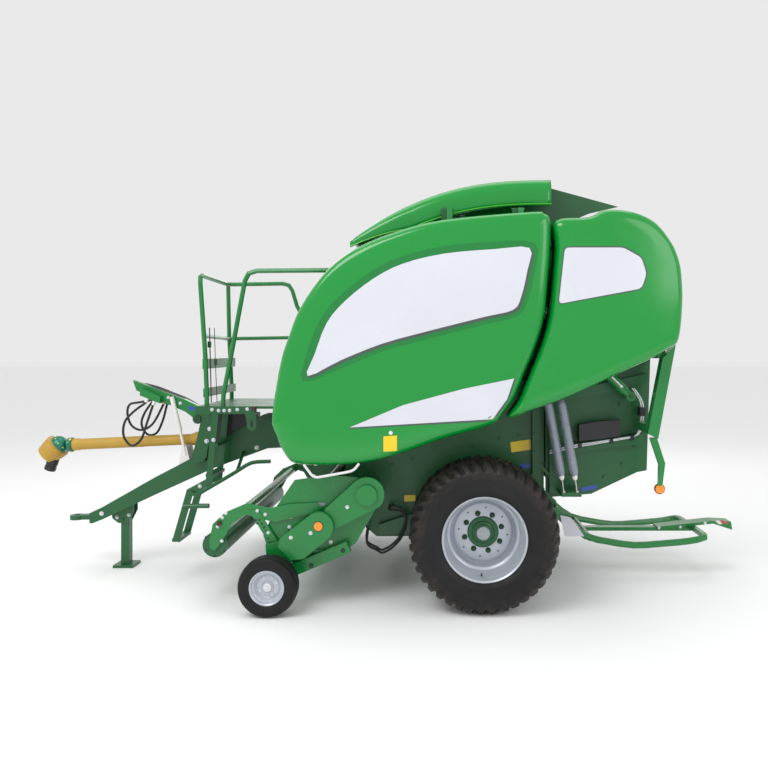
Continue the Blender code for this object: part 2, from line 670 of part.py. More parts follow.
# ---------------------------------------------------------------- tailgate
TAILGATE_WALL = [
    (SPLIT_X + SPLIT_GAP / 2, 0.700), (1.660, 0.728), (2.013, 0.895), (2.090, 0.910), (2.100, 1.250),
    (2.120, 1.850), (2.120, 2.400), (2.040, 2.620), (1.900, 2.740), (1.640, 2.790),
    (1.400, 2.780), (SPLIT_X + SPLIT_GAP / 2, 2.740),
]
CYLINDER_LOW = (1.930, 1.490)
CYLINDER_TOP = (0.950, 2.450)
CYLINDER_Y = 0.765
CYLINDER_RADIUS = 0.038
CYLINDER_ROD = 0.018
CYLINDER_EYE = 0.044
CYLINDER_BARREL = 0.980


def tailgate_wall(name, side):
    """A rear chamber wall with stiffeners and the ear on the pivot pin."""
    plate = prism(TAILGATE_WALL, *span(side, WALL_IN, WALL_OUT))
    rib = span(side, WALL_OUT - 0.004, WALL_OUT + RIB_DEPTH)
    shapes = [plate]
    shapes.append(prism([(1.33, 0.74), (1.39, 0.74), (1.39, 2.60), (1.33, 2.60)], *rib))
    shapes.append(prism([(1.35, 1.03), (1.35, 1.10), (2.05, 1.20), (2.05, 1.12)], *rib))
    shapes.append(prism([(1.35, 1.42), (1.35, 1.50), (2.08, 1.66), (2.08, 1.58)], *rib))
    ear = [*arc(TAILGATE_PIVOT, 0.058, 45, 250, 8), (1.33, 2.64), (1.46, 2.60), (1.50, 2.72), (1.42, 2.78)]
    ear_plate = without(prism(ear, *span(side, WALL_OUT + 0.008, WALL_OUT + 0.034)),
                        rod((TAILGATE_PIVOT[0], side * 0.5, TAILGATE_PIVOT[1]),
                            (TAILGATE_PIVOT[0], side * 0.8, TAILGATE_PIVOT[1]), PIVOT_PIN + RUNNING_GAP, 24))
    doubler = block((1.345, 1.455), span(side, WALL_OUT - 0.004, WALL_OUT + 0.030), (2.645, 2.715))
    low_pin = rod((CYLINDER_LOW[0], side * (WALL_OUT - 0.004), CYLINDER_LOW[1]),
                  (CYLINDER_LOW[0], side * (CYLINDER_Y + 0.030), CYLINDER_LOW[1]), 0.016, 20)
    shapes += [combine([ear_plate, doubler]), low_pin]
    piece(f"tailgate_wall_{name}", shapes, FRAME_GREEN, "tailgate")


def tailgate_belts():
    """The belt run round the rear of the chamber, over the tailgate's rollers."""
    path = [(1.36, 0.800), (1.66, 0.815), (1.93, 0.960), (2.030, 1.300), (2.055, 1.850), (2.050, 2.300),
            (1.960, 2.560), (1.760, 2.690), (1.420, 2.700)]
    half = WALL_IN - GAP
    shapes = [prism(band(path, 0.014), -half + 0.02, half - 0.02)]
    for x, z, radius in ((1.37, 0.858, 0.052), (1.895, 1.030, 0.056), (1.975, 2.460, 0.066),
                         (1.44, 2.642, 0.054)):
        shapes.append(rod((x, -half, z), (x, half, z), radius, 20))
    piece("tailgate_belts", shapes, BELT_RUBBER, "tailgate")


def tailgate_post(name, side):
    """The rear edge post of the tailgate with its outriggers and the light bracket."""
    post = [(2.100, 1.780), (2.195, 1.880), (2.068, 1.198), (1.994, 1.235)]
    shapes = [prism(post, *span(side, 0.930, 1.020))]
    for x, z in ((2.030, 1.235), (2.110, 1.780)):
        shapes.append(block((x - 0.030, x + 0.030), span(side, WALL_OUT + GAP, 0.950), (z, z + 0.060)))
    shapes.append(prism([(2.010, 1.205), (2.060, 1.205), (2.120, 1.020), (2.100, 0.860), (2.070, 0.860),
                         (2.075, 1.010)], *span(side, 0.985, 1.015)))
    piece(f"tailgate_post_{name}", shapes, BRIGHT_GREEN, "tailgate")


def belt_springs(name, side):
    """Two belt tension springs in a row, hooked between two brackets on the tailgate wall."""
    y = side * 0.862
    shapes = []
    for shift in (0.0, 0.098):
        top, low, anchor = (1.285 + shift, 1.470), (1.392 + shift, 0.905), (1.410 + shift, 0.770)
        shapes.append(rod((top[0] + 0.006, y, top[1]), (low[0], y, low[1]), 0.036, 14))
        shapes.append(rod((low[0] - 0.01, y, low[1] + 0.03), (anchor[0], y, anchor[1]), 0.012, 8))
    shapes.append(block((1.3903, 1.540), span(side, WALL_OUT + GAP, 0.880), (0.752, 0.784)))
    piece(f"belt_springs_{name}", shapes, SPRING_STEEL, "tailgate")


def cylinder_direction():
    line = Vector((CYLINDER_TOP[0] - CYLINDER_LOW[0], CYLINDER_TOP[1] - CYLINDER_LOW[1]))
    return line.normalized(), line.length


def tailgate_cylinder(name, side):
    """A lift cylinder: its barrel turns on the tailgate's pin and its rod's eye reaches the wall's pin."""
    along, length = cylinder_direction()
    base = Vector((CYLINDER_LOW[0], side * CYLINDER_Y, CYLINDER_LOW[1]))
    ahead = Vector((along.x, 0, along.y))
    low_eye = turned([(0.0168, -CYLINDER_EYE / 2), (0.0168, CYLINDER_EYE / 2), (0.036, CYLINDER_EYE / 2),
                      (0.036, -CYLINDER_EYE / 2)], base, 20)
    barrel = rod(base + ahead * 0.030, base + ahead * CYLINDER_BARREL, CYLINDER_RADIUS, 20)
    bore = rod(base + ahead * 0.060, base + ahead * (CYLINDER_BARREL + 0.1), CYLINDER_ROD + 0.001, 20)
    piece(f"cylinder_barrel_{name}", [combine([low_eye, without(barrel, bore)])], BLACK_PLASTIC,
          f"cylinder_{name}")
    top = base + ahead * length
    eye = turned([(0.016, -CYLINDER_EYE / 2), (0.016, CYLINDER_EYE / 2), (0.034, CYLINDER_EYE / 2),
                  (0.034, -CYLINDER_EYE / 2)], top, 20)
    shaft = rod(base + ahead * 0.500, top - ahead * 0.026, CYLINDER_ROD, 20)
    piece(f"cylinder_rod_{name}", [shaft, eye], BARE_STEEL, f"cylinder_{name}")


for cylinder_name, cylinder_side in SIDES:
    JOINTS[f"cylinder_{cylinder_name}"] = (CYLINDER_LOW[0], cylinder_side * CYLINDER_Y, CYLINDER_LOW[1])
    RIDES_ON[f"cylinder_{cylinder_name}"] = "tailgate"


def valve_box():
    """The electronics box on the left tailgate wall."""
    y = span(LEFT, WALL_OUT + RIB_DEPTH + GAP, WALL_OUT + RIB_DEPTH + 0.075)
    outline = [(1.545, 1.150), (1.545, 1.275), (1.700, 1.300), (1.860, 1.310), (1.860, 1.190), (1.700, 1.165)]
    back = block((1.60, 1.80), span(LEFT, WALL_OUT + GAP, WALL_OUT + RIB_DEPTH + 0.02), (1.195, 1.255))
    piece("valve_box", [prism(outline, *y), back], BLACK_PLASTIC, "tailgate")


# ---------------------------------------------------------------- drawbar, hitch, stand and drive
POLE_TOP = [(-2.440, 0.470), (-2.377, 0.504), (-1.904, 0.772), (-1.600, 0.930), (-1.420, 1.046),
            (-1.177, 1.195), (-1.000, CROSS_BEAM_Z[1] - 0.004),
            (CROSS_BEAM_X[1] - 0.040, CROSS_BEAM_Z[1] - 0.004)]
POLE_LOW = [(CROSS_BEAM_X[1] - 0.040, CROSS_BEAM_Z[0] + 0.004), (-0.957, 1.015), (-1.408, 0.849),
            (-1.904, 0.624),
            (-2.344, 0.418), (-2.440, 0.380)]
UPRIGHT_Y = 0.170
UPRIGHT_SHEET = 0.014
ARM_ROOT = (-1.529, 1.267)
ARM_BOLT = 0.020


def pole_top(x):
    """Height of the pole's upper edge at x."""
    for (x1, z1), (x2, z2) in zip(POLE_TOP, POLE_TOP[1:]):
        if x1 <= x <= x2:
            return z1 + (z2 - z1) * (x - x1) / (x2 - x1)
    return POLE_TOP[-1][1]


def drawbar():
    """The pole with its cross beam, the upright plates beside the gearbox and the stand's bracket."""
    half = DRAWBAR_HALF_WIDTH
    shapes = [prism(POLE_TOP + POLE_LOW, -half, half)]
    shapes.append(block(CROSS_BEAM_X, (-WALL_OUT - 0.040, WALL_OUT + 0.040), CROSS_BEAM_Z))
    upright = [(-1.440, PLATFORM_LOW - GAP), (-1.375, PLATFORM_LOW - GAP), (-1.395, 1.220), (-1.445, 1.019),
               (-1.455, 0.950), (-1.500, 0.905), (-1.555, 0.900), (-1.575, 0.960), (-1.535, 1.100),
               *arc(ARM_ROOT, 0.043, -60, -295, 7)]
    for _, side in SIDES:
        shapes.append(prism(upright, *span(side, UPRIGHT_Y - UPRIGHT_SHEET, UPRIGHT_Y)))
    shapes.append(block((-1.555, -1.470), (-UPRIGHT_Y + 0.005, UPRIGHT_Y - 0.005), (0.912, 0.960)))
    shapes.append(rod((ARM_ROOT[0], -UPRIGHT_Y + 0.005, ARM_ROOT[1]),
                      (ARM_ROOT[0], UPRIGHT_Y - 0.005, ARM_ROOT[1]), ARM_BOLT, 16))
    bracket = [(-2.300, 0.460), (-2.110, 0.550), (-2.110, 0.470), (-2.160, 0.372), (-2.240, 0.372),
               (-2.290, 0.410)]
    for _, side in SIDES:
        shapes.append(prism(bracket, *span(side, STAND_TUBE / 2 + GAP, STAND_TUBE / 2 + 0.012)))
    shapes.append(rod((STAND_PIVOT[0], -0.060, STAND_PIVOT[1]), (STAND_PIVOT[0], 0.060, STAND_PIVOT[1]),
                      0.012, 16))
    piece("drawbar", shapes, FRAME_GREEN)


def hitch_ring():
    """A ring eye with a shank between two cheeks on the pole's nose."""
    ring = turned([(HITCH_RING_INNER, -0.018), (HITCH_RING_INNER, 0.018), (HITCH_RING_OUTER, 0.018),
                   (HITCH_RING_OUTER, -0.018)], (HITCH_RING_X, 0, HITCH_RING_Z), 32, "z")
    shank = block((HITCH_RING_X + 0.045, -2.440 - GAP), (-0.035, 0.035),
                  (HITCH_RING_Z - 0.016, HITCH_RING_Z + 0.022))
    plate = block((-2.462, -2.440 - GAP), (-0.100, 0.100), (0.382, 0.468))
    piece("hitch_ring", [combine([ring, shank]), plate], BARE_STEEL)


def stand():
    """The stand's leg and foot on its pivot bolt."""
    half = STAND_TUBE / 2
    leg = block((STAND_LEG_X - half, STAND_LEG_X + half), (-half, half), (0.016, STAND_PIVOT[1] + 0.024))
    bore = rod((STAND_PIVOT[0], -0.1, STAND_PIVOT[1]), (STAND_PIVOT[0], 0.1, STAND_PIVOT[1]),
               0.012 + RUNNING_GAP, 16)
    foot = block((STAND_LEG_X - STAND_FOOT / 2, STAND_LEG_X + STAND_FOOT / 2),
                 (-STAND_FOOT / 2, STAND_FOOT / 2),
                 (0, 0.022))
    piece("stand_leg", [combine([without(leg, bore), foot])], BRIGHT_GREEN, "stand")


PTO_JOINT_BALL = 0.0192


def gearbox():
    """The drive gearbox on the pole, behind the drive shaft."""
    lift = 2 * GAP
    outline = [(-1.455, pole_top(-1.455) + lift), (-1.420, 1.046 + lift), (-1.177, 1.195 + lift),
               (-1.080, pole_top(-1.080) + lift), (-1.080, 1.300), (-1.330, 1.300), (-1.400, 1.240),
               (-1.440, 1.180), (-1.455, 1.160)]
    ball = PTO_JOINT_BALL
    stub = [(0, ball), (ball / 2, ball * 0.866), (ball * 0.866, ball / 2), (ball, 0), (ball, -0.030),
            (0, -0.030)]
    input_shaft = turned_along(stub, (PTO_PIVOT[0], 0, PTO_PIVOT[1]), (-1, 0, 0), 12)
    piece("gearbox", [prism(outline, -0.150, 0.150), input_shaft], BLACK_PLASTIC)


def turned_along(profile, base, direction, sides):
    """A (radius, along) profile turned about a line from base in a direction."""
    mesh = turned(profile, (0, 0, 0), sides, "z")
    turn = Vector((0, 0, 1)).rotation_difference(Vector(direction)).to_matrix()
    bmesh.ops.rotate(mesh, verts=mesh.verts, cent=(0, 0, 0), matrix=turn)
    bmesh.ops.translate(mesh, verts=mesh.verts, vec=base)
    return mesh


def pto_line():
    """The drive shaft's rear and front joint centres and the direction forward."""
    rear, front = Vector((PTO_PIVOT[0], 0, PTO_PIVOT[1])), Vector((PTO_FRONT[0], 0, PTO_FRONT[1]))
    return rear, front, (front - rear).normalized()


def pto_shaft():
    """The drive shaft's guard tube between its two joints."""
    rear, front, ahead = pto_line()
    length = (front - rear).length
    tube = PTO_TUBE_RADIUS
    profile = [(0, 0.020), (0.070, 0.020), (0.066, 0.120), (tube, 0.140), (tube, length - 0.130),
               (0.062, length - 0.128), (0.062, length - 0.087), (0.034, length - 0.086),
               (0.030, length - 0.0806),
               (0, length - 0.0806)]
    piece("pto_shaft", [turned_along(profile, rear, ahead, 20)], PTO_YELLOW, "pto")


def pto_yoke():
    """The front joint in its rubber boot, hanging ahead and down, with the hub below."""
    front = Vector((PTO_FRONT[0], 0, PTO_FRONT[1]))
    down = Vector((-0.776, 0, -0.630)).normalized()
    boot = [(0, -0.080), (0.026, -0.0756), (0.0493, -0.063), (0.0693, -0.040), (0.080, -0.004),
            (0.105, 0.001),
            (0.105, 0.070), (0.085, 0.135), (0, 0.135)]
    hub_way = Vector((-0.340, 0, -0.940)).normalized()
    hub = rod(front + hub_way * 0.080, front + hub_way * 0.225, 0.047, 16)
    piece("pto_yoke", [turned_along(boot, front, down, 20), hub], PTO_YELLOW, "pto_yoke")


ARM_Y_SPAN = (-0.091, -0.029)
ARM_OUTLINE = [(-2.100, 1.585), (-1.667, 1.425), (-1.500, 1.345), (-1.499, 1.297),
               (-1.489, 1.262), (-1.510, 1.232), (-1.545, 1.229), (-1.592, 1.270), (-1.657, 1.320),
               (-2.070, 1.500)]


def hose_arm():
    """The arm that carries the hoses, with the coupler plate near its tip."""
    bore = rod((ARM_ROOT[0], -0.2, ARM_ROOT[1]), (ARM_ROOT[0], 0.2, ARM_ROOT[1]), ARM_BOLT + RUNNING_GAP, 16)
    beam = without(prism(ARM_OUTLINE, *ARM_Y_SPAN), bore)
    plate = prism([*COUPLER_LOW, (-1.850, 1.450), (-2.010, 1.520)],
                  ARM_Y_SPAN[0] - 0.060, 0.118)
    piece("hose_arm", [combine([beam, plate])], BRIGHT_GREEN)


def arm_strut():
    """The strut from the pole to the hose arm, on the block that the drive shaft rests on."""
    rear, _, ahead = pto_line()
    y = ARM_Y_SPAN[0] - 0.021
    foot_x = (-1.705, -1.615)
    rest_x = -1.660
    rest = rear + ahead * ((rest_x - rear.x) / ahead.x)
    top = rest.z - PTO_TUBE_RADIUS / abs(ahead.x) - 2 * GAP
    foot = [(foot_x[0], pole_top(foot_x[0]) + GAP), (foot_x[1], pole_top(foot_x[1]) + GAP),
            (rest_x + 0.020, top - 0.0009), (rest_x - 0.020, top - 0.0009)]
    shapes = [prism(foot, y - 0.004, 0.040)]
    shapes.append(rod((-1.648, y, 0.960), (-1.695, y, 1.175), 0.012, 10))
    shapes.append(rod((-1.692, y, 1.160), (-1.765, y, 1.448), 0.019, 14))
    shapes.append(rod((-1.758, y - 0.006, 1.420), (-1.758, ARM_Y_SPAN[0] - GAP, 1.420), 0.010, 10))
    piece("arm_strut", shapes, WHITE_PAINT)


def smooth_line(points, steps):
    """A Catmull-Rom line through the points."""
    spots = [Vector(point) for point in points]
    spots = [2 * spots[0] - spots[1], *spots, 2 * spots[-1] - spots[-2]]
    line = []
    for a, b, c, d in zip(spots, spots[1:], spots[2:], spots[3:]):
        for step in range(steps):
            t = step / steps
            line.append(0.5 * (2 * b + (c - a) * t + (2 * a - 5 * b + 4 * c - d) * t ** 2
                               + (3 * b - a - 3 * c + d) * t ** 3))
    line.append(spots[-2])
    return line


# Each hose: its y, where it leaves and meets the coupler plate, and its loop between as (x, z).
HOSES = {
    "hose_left": (-0.132, -1.962, -1.900, [(-2.070, 1.330), (-2.150, 1.240), (-2.160, 1.120), (-2.095, 1.040),
                                           (-2.015, 1.090), (-1.965, 1.230)]),
    "hose_middle": (0.070, -1.992, -1.885, [(-2.100, 1.390), (-2.190, 1.370), (-2.210, 1.290),
                                            (-2.175, 1.190),
                                            (-2.090, 1.150), (-1.990, 1.205)]),
    "hose_right": (0.100, -1.980, -1.865, [(-2.070, 1.300), (-2.100, 1.200), (-2.050, 1.110), (-1.970, 1.120),
                                           (-1.915, 1.230)]),
}
COUPLER_LOW = ((-2.020, 1.462), (-1.850, 1.395))


def coupler_point(x, y, reach):
    """A point square below the coupler plate's lower face at x."""
    (x1, z1), (x2, z2) = COUPLER_LOW
    along = Vector((x2 - x1, z2 - z1)).normalized()
    z = z1 + (z2 - z1) * (x - x1) / (x2 - x1)
    return (x + along.y * reach, y, z - along.x * reach)


def hose_route(name):
    y, leaves, meets, loop = HOSES[name]
    start = [coupler_point(leaves, y, reach) for reach in (0.0006, 0.020, 0.045)]
    end = [coupler_point(meets, y, reach) for reach in (0.045, 0.020, 0.0006)]
    return start + [(x, y, z) for x, z in loop] + end


def hose(name):
    """A hydraulic hose hanging in a loop under the arm's coupler plate."""
    data = bpy.data.curves.new(name, "CURVE")
    data.dimensions = "3D"
    data.bevel_depth = HOSE_RADIUS
    data.bevel_resolution = 2
    data.use_fill_caps = True
    line = smooth_line(hose_route(name), 4)
    spline = data.splines.new("POLY")
    spline.points.add(len(line) - 1)
    for point, spot in zip(spline.points, line):
        point.co = (*spot, 1)
    data.materials.append(HOSE_RUBBER)
    made = bpy.data.objects.new(name, data)
    bpy.context.scene.collection.objects.link(made)
    made.parent = joint_empty("root")


# ---------------------------------------------------------------- platform, rails and ladder
PLATFORM_SHEET = 0.060
PLATFORM_LOW = PLATFORM_Z - PLATFORM_SHEET
PLATFORM_X = (-1.440, -0.640)


def platform():
    """The net loading platform: a tray with turned-down edges, and the keyhole tab on its left edge."""
    half = PLATFORM_HALF_WIDTH
    deck = block(PLATFORM_X, (-half, half), (PLATFORM_Z - 0.020, PLATFORM_Z))
    shapes = [deck]
    for _, side in SIDES:
        shapes.append(block((PLATFORM_X[0], -0.96), span(side, half - 0.010, half),
                            (PLATFORM_LOW, PLATFORM_Z - 0.005)))
    shapes.append(block((PLATFORM_X[0], -1.240), (-0.250, 0.250), (PLATFORM_LOW, PLATFORM_Z - 0.010)))
    tab = [(-1.060, PLATFORM_LOW + 0.024), (-0.960, PLATFORM_LOW + 0.024), (-0.960, 1.245),
           *arc((-0.998, 1.240), 0.038, -10, -170, 5),
           (-1.040, 1.290)]
    shapes.append(prism(tab, *span(LEFT, half - 0.009, half - 0.001)))
    foot = [(-0.700, PLATFORM_LOW + 0.044), (-0.645, PLATFORM_LOW + 0.044), (CROSS_BEAM_X[0] - GAP, 1.290),
            (CROSS_BEAM_X[0] - GAP, 1.180)]
    shapes.append(prism(foot, -0.200, -0.180))
    shapes.append(prism(foot, 0.180, 0.200))
    piece("platform", shapes, FRAME_GREEN)


RAIL_LEFT_Y = -0.450
RAIL_RIGHT_Y = 0.470
DECK_TOP = PLATFORM_Z + GAP


def handrail_front():
    """The guard rail across the front and along the right of the platform."""
    near, far, radius = RAIL_LEFT_Y, RAIL_RIGHT_Y, RAIL_RADIUS
    top = rounded([(-1.368, near, DECK_TOP), (-1.368, near, DECK_TOP + 0.1), (-1.380, near, 1.800),
                   (-1.424, near, 2.440), (-1.450, far, 2.440),
                   (-0.880, far, 2.450), (-0.800, far, 2.180), (-0.600, far, 2.080)], 0.07, 2)
    shapes = [sweep(top, radius, 8)]
    shapes.append(sweep([(-1.418, far, DECK_TOP), (-1.418, far, DECK_TOP + 0.1), (-1.440, far, 1.940),
                         (-1.450, far, 2.430)], radius, 8))
    shapes.append(sweep(rounded([(-1.392, near, 1.952), (-1.442, far, 1.944), (-0.6306, far, 1.960)], 0.06,
                                2),
                        radius * 0.9, 8))
    shapes.append(block((-1.402, -1.384), (near, far), (1.690, 1.770)))
    shapes.append(block((-1.396, -1.380), (near, far), (1.465, 1.535)))
    piece("handrail_front", shapes, BRIGHT_GREEN)


def handrail_side():
    """The handrail beside the ladder's opening, run back to the net box."""
    y = RAIL_LEFT_Y
    path = rounded([(-1.237, y, DECK_TOP), (-1.237, y, DECK_TOP + 0.08), (-1.184, y, 1.745),
                    (-1.050, y, 2.470),
                    (-0.2940 - RAIL_RADIUS, y, 2.477)], 0.08, 2)
    piece("handrail_side", [sweep(path, RAIL_RADIUS, 8)], BRIGHT_GREEN)


def ladder_upper():
    """The fixed upper flight under the platform, with the fold lever of the lower flight."""
    near, far = LADDER_Y
    knee = (-1.338, 0.790)
    shapes = []
    for y in (near + 0.005, far - 0.005):
        shapes.append(flat_bar((-1.285, PLATFORM_LOW - GAP - 0.0027), knee, y, 0.010, 0.050))
        shapes.append(flat_bar((-1.325, 0.805), LADDER_HINGE, y, 0.010, 0.056))
    for x, z in ((-1.305, 1.090), (-1.333, 0.850)):
        shapes.append(block((x - 0.030, x + 0.040), (near + 0.003, far - 0.003), (z - 0.012, z + 0.012)))
    lever_y = near - 0.008
    lever = rounded([(-1.478, lever_y, 0.722), (-1.440, lever_y, 0.690), (-1.121, lever_y, 0.878),
                     (-1.000, lever_y, 0.957), (-0.847, lever_y, 0.962)], 0.05, 2)
    shapes.append(sweep(lever, 0.015, 10))
    pole_side = -DRAWBAR_HALF_WIDTH - GAP
    shapes.append(rod((-1.110, lever_y, 0.885), (-1.160, pole_side - 0.0038, 0.985), 0.013, 10))
    piece("ladder_upper", shapes, FRAME_GREEN)


def ladder_step():
    """The folding lower flight with its grab stub."""
    near, far = LADDER_Y
    hx, hz = LADDER_HINGE
    low = (-1.603, 0.325)
    shapes = []
    for y in (near + 0.018, far - 0.018):
        shapes.append(flat_bar((hx + 0.003, hz + 0.012), low, y, 0.010, 0.056))
    shapes.append(block((low[0] - 0.030, low[0] + 0.034), (near + 0.016, far - 0.016),
                        (low[1] - 0.004, low[1] + 0.020)))
    shapes.append(rod((-1.545, near + 0.018, 0.604), (-1.340, near + 0.018, 0.606), 0.019, 12))
    shapes.append(rod((hx, near + 0.0103, hz), (hx, far - 0.0103, hz), 0.010, 10))
    piece("ladder_step", shapes, BRIGHT_GREEN, "ladder_step")


# ---------------------------------------------------------------- pickup
SIDE_PLATE = 0.010
ARM_PLATE = 0.012
ARM_Y = PICKUP_HALF_WIDTH + SIDE_PLATE + 0.010


def pickup_frame():
    """Two side plates on the rotor's bearing stubs, joined by the cross tubes."""
    outline = [*arc(PICKUP_AXIS, 0.110, 60, -40, 5), (-0.120, 0.440), (-0.300, 0.340), (-0.560, 0.300),
               (-0.740, 0.360),
               (-0.790, 0.500), (-0.700, 0.700), (-0.563, 0.900), (-0.300, 0.935)]
    shapes = []
    for _, side in SIDES:
        plate = prism(outline, *span(side, PICKUP_HALF_WIDTH, PICKUP_HALF_WIDTH + SIDE_PLATE))
        bore = rod((PICKUP_AXIS[0], side * 0.9, PICKUP_AXIS[1]), (PICKUP_AXIS[0], side * 1.1, PICKUP_AXIS[1]),
                   PICKUP_STUB + RUNNING_GAP, 24)
        shapes.append(without(plate, bore))
        pivot = (WINDGUARD_PIVOT[0], 0, WINDGUARD_PIVOT[1])
        shapes.append(rod((pivot[0], side * (PICKUP_HALF_WIDTH + 0.004), pivot[2]),
                          (pivot[0], side * (ARM_Y + ARM_PLATE + 0.004), pivot[2]), 0.014, 16))
    reach = PICKUP_HALF_WIDTH + 0.004
    shapes.append(rod((-0.345, -reach, 0.845), (-0.345, reach, 0.845), 0.040, 14))
    shapes.append(rod((-0.200, -reach, 0.440), (-0.200, reach, 0.440), 0.040, 14))
    piece("pickup_frame", shapes, BRIGHT_GREEN, "pickup")


def pickup_bands():
    """The stripper bands round the reel, one comb joined along its rear edge."""
    half = PICKUP_HALF_WIDTH - GAP
    count = round(2 * half / BAND_PITCH)
    pitch = (2 * half - BAND_WIDTH) / count
    columns = []
    for index in range(count + 1):
        columns += [-half + index * pitch, -half + index * pitch + BAND_WIDTH]
    around = arc(REEL_AXIS, BAND_RADIUS, -75, -300, 8)
    path = [*around, (-0.330, 0.575), (-0.270, 0.580), (-0.235, 0.560)]
    inside = [*arc(REEL_AXIS, BAND_RADIUS - 0.008, -75, -300, 8), (-0.333, 0.566), (-0.272, 0.571),
              (-0.238, 0.552)]
    rows = list(range(len(path)))

    def filled(i, j):
        return i % 2 == 0 or j == len(path) - 2

    sheet = grid_sheet(columns, rows, lambda y, row: (path[row][0], y, path[row][1]), filled,
                       lambda y, row: (inside[row][0], y, inside[row][1]))
    piece("pickup_bands", [sheet], BRIGHT_GREEN, "pickup")


def pickup_reel():
    """The reel: a shaft, its spiders and four tine bars with a tine in every gap of the bands."""
    half = PICKUP_HALF_WIDTH - GAP
    count = round(2 * half / BAND_PITCH)
    pitch = (2 * half - BAND_WIDTH) / count
    gaps = [-half + BAND_WIDTH + index * pitch + (pitch - BAND_WIDTH) / 2 for index in range(count)]
    comb = [(-half + 0.04, 0.100)]
    for y in gaps:
        comb += [(y - 0.006, 0.118), (y - 0.006, REEL_TIP_RADIUS), (y + 0.006, REEL_TIP_RADIUS),
                 (y + 0.006, 0.118)]
    comb += [(half - 0.04, 0.100), (half - 0.04, 0.070), (-half + 0.04, 0.070)]
    centre = Vector((REEL_AXIS[0], 0, REEL_AXIS[1]))
    shapes = [rod(centre + Vector((0, -half, 0)), centre + Vector((0, half, 0)), 0.045, 12)]
    for y in (-0.93, 0.0, 0.93):
        shapes.append(rod(centre + Vector((0, y - 0.012, 0)), centre + Vector((0, y + 0.012, 0)), 0.112, 12))
    for turn in range(4):
        bar = prism(comb, -0.006, 0.006, "x")
        bmesh.ops.rotate(bar, verts=bar.verts, cent=(0, 0, 0),
                         matrix=Matrix.Rotation(math.radians(90 * turn + 20), 3, "Y"))
        bmesh.ops.translate(bar, verts=bar.verts, vec=centre)
        shapes.append(bar)
    piece("pickup_reel", shapes, SPRING_STEEL, "pickup_reel")


def windguard_frame():
    """The two arched arms of the crop guard with their hole plates and the cross tube."""
    px, pz = WINDGUARD_PIVOT
    rx, rz = WINDGUARD_ROLLER
    arm = [(rx - 0.030, rz - 0.020), (rx - 0.035, rz + 0.030), (-1.150, 0.585), (-1.062, 0.668),
           (-0.907, 0.735),
           (-0.740, 0.700), (-0.600, 0.730), (px, pz + 0.040), (px + 0.036, pz), (px, pz - 0.036),
           (-0.500, 0.650),
           (-0.700, 0.600), (-0.800, 0.620), (-0.910, 0.655), (-1.010, 0.590), (-1.060, 0.500),
           (rx + 0.036, rz), (rx, rz - 0.040)]
    shapes = []
    for _, side in SIDES:
        plate = prism(arm, *span(side, ARM_Y, ARM_Y + ARM_PLATE))
        bore = rod((px, side * 0.9, pz), (px, side * 1.1, pz), 0.014 + RUNNING_GAP, 16)
        shapes.append(without(plate, bore))
        shapes.append(prism([(-0.890, 0.690), (-0.820, 0.690), (-0.640, 0.400), (-0.700, 0.380)],
                            *span(side, ARM_Y + ARM_PLATE - 0.003, ARM_Y + ARM_PLATE + 0.008)))
        shapes.append(rod((rx, side * (ARM_Y - 0.020), rz), (rx, side * (ARM_Y + 0.004), rz), 0.018, 12))
    reach = ARM_Y + 0.004
    shapes.append(rod((-0.960, -reach, 0.660), (-0.960, reach, 0.660), 0.030, 12))
    piece("windguard_frame", shapes, BRIGHT_GREEN, "windguard")


def windguard_roller():
    rx, rz = WINDGUARD_ROLLER
    half = ARM_Y - 0.006
    radius, bore = WINDGUARD_ROLLER_RADIUS, 0.018 + RUNNING_GAP
    shell, cap = radius - 0.006, half - 0.014
    profile = [(bore, -half), (radius, -half), (radius, half), (bore, half), (bore, cap), (shell, cap),
               (shell, -cap), (bore, -cap)]
    piece("windguard_roller", [turned(profile, (rx, 0, rz), 20)], BRIGHT_GREEN, "windguard_roller")


def gauge_arm(name, side):
    """The arm under a side plate with the stub axle of its gauge wheel."""
    beam = flat_bar((-0.165, 0.432), (-0.640, 0.232), side * (PICKUP_HALF_WIDTH + SIDE_PLATE + 0.038), 0.070,
                    0.084)
    shield = [(-0.760, 0.450), (-0.740, 0.180), (-0.560, 0.230), (-0.590, 0.420), (-0.660, 0.475)]
    plate = prism(shield, *span(side, PICKUP_HALF_WIDTH + SIDE_PLATE + 0.050,
                                PICKUP_HALF_WIDTH + SIDE_PLATE + 0.064))
    stub = rod((GAUGE_X, side * 1.065, GAUGE_DIAMETER / 2),
               (GAUGE_X, side * (GAUGE_Y + 0.040), GAUGE_DIAMETER / 2), 0.014, 16)
    seat = block((-0.420, -0.340), span(side, PICKUP_HALF_WIDTH + SIDE_PLATE + GAP,
                                        PICKUP_HALF_WIDTH + 0.030),
                 (0.350, 0.400))
    piece(f"gauge_arm_{name}", [beam, plate, stub, seat], BRIGHT_GREEN, "pickup")


def gauge_wheel(name, side):
    """A small wheel, its rim and tyre in one."""
    radius, half = GAUGE_DIAMETER / 2, GAUGE_WIDTH / 2
    shape = [(0.0148, -0.055), (0.0148, 0.042), (0.0, 0.042), (0.0, 0.062), (0.028, 0.056), (0.030, 0.030),
             (0.085, 0.018), (0.117, 0.066), (0.165, half), (radius, half - 0.035), (radius, -half + 0.035),
             (0.165, -half), (0.117, -0.070), (0.030, -0.030), (0.030, -0.055)]
    profile = [(r, side * u) for r, u in shape]
    piece(f"gauge_wheel_{name}", [turned(profile, (GAUGE_X, side * GAUGE_Y, radius), 28)], TYRE_RUBBER,
          f"gauge_{name}")


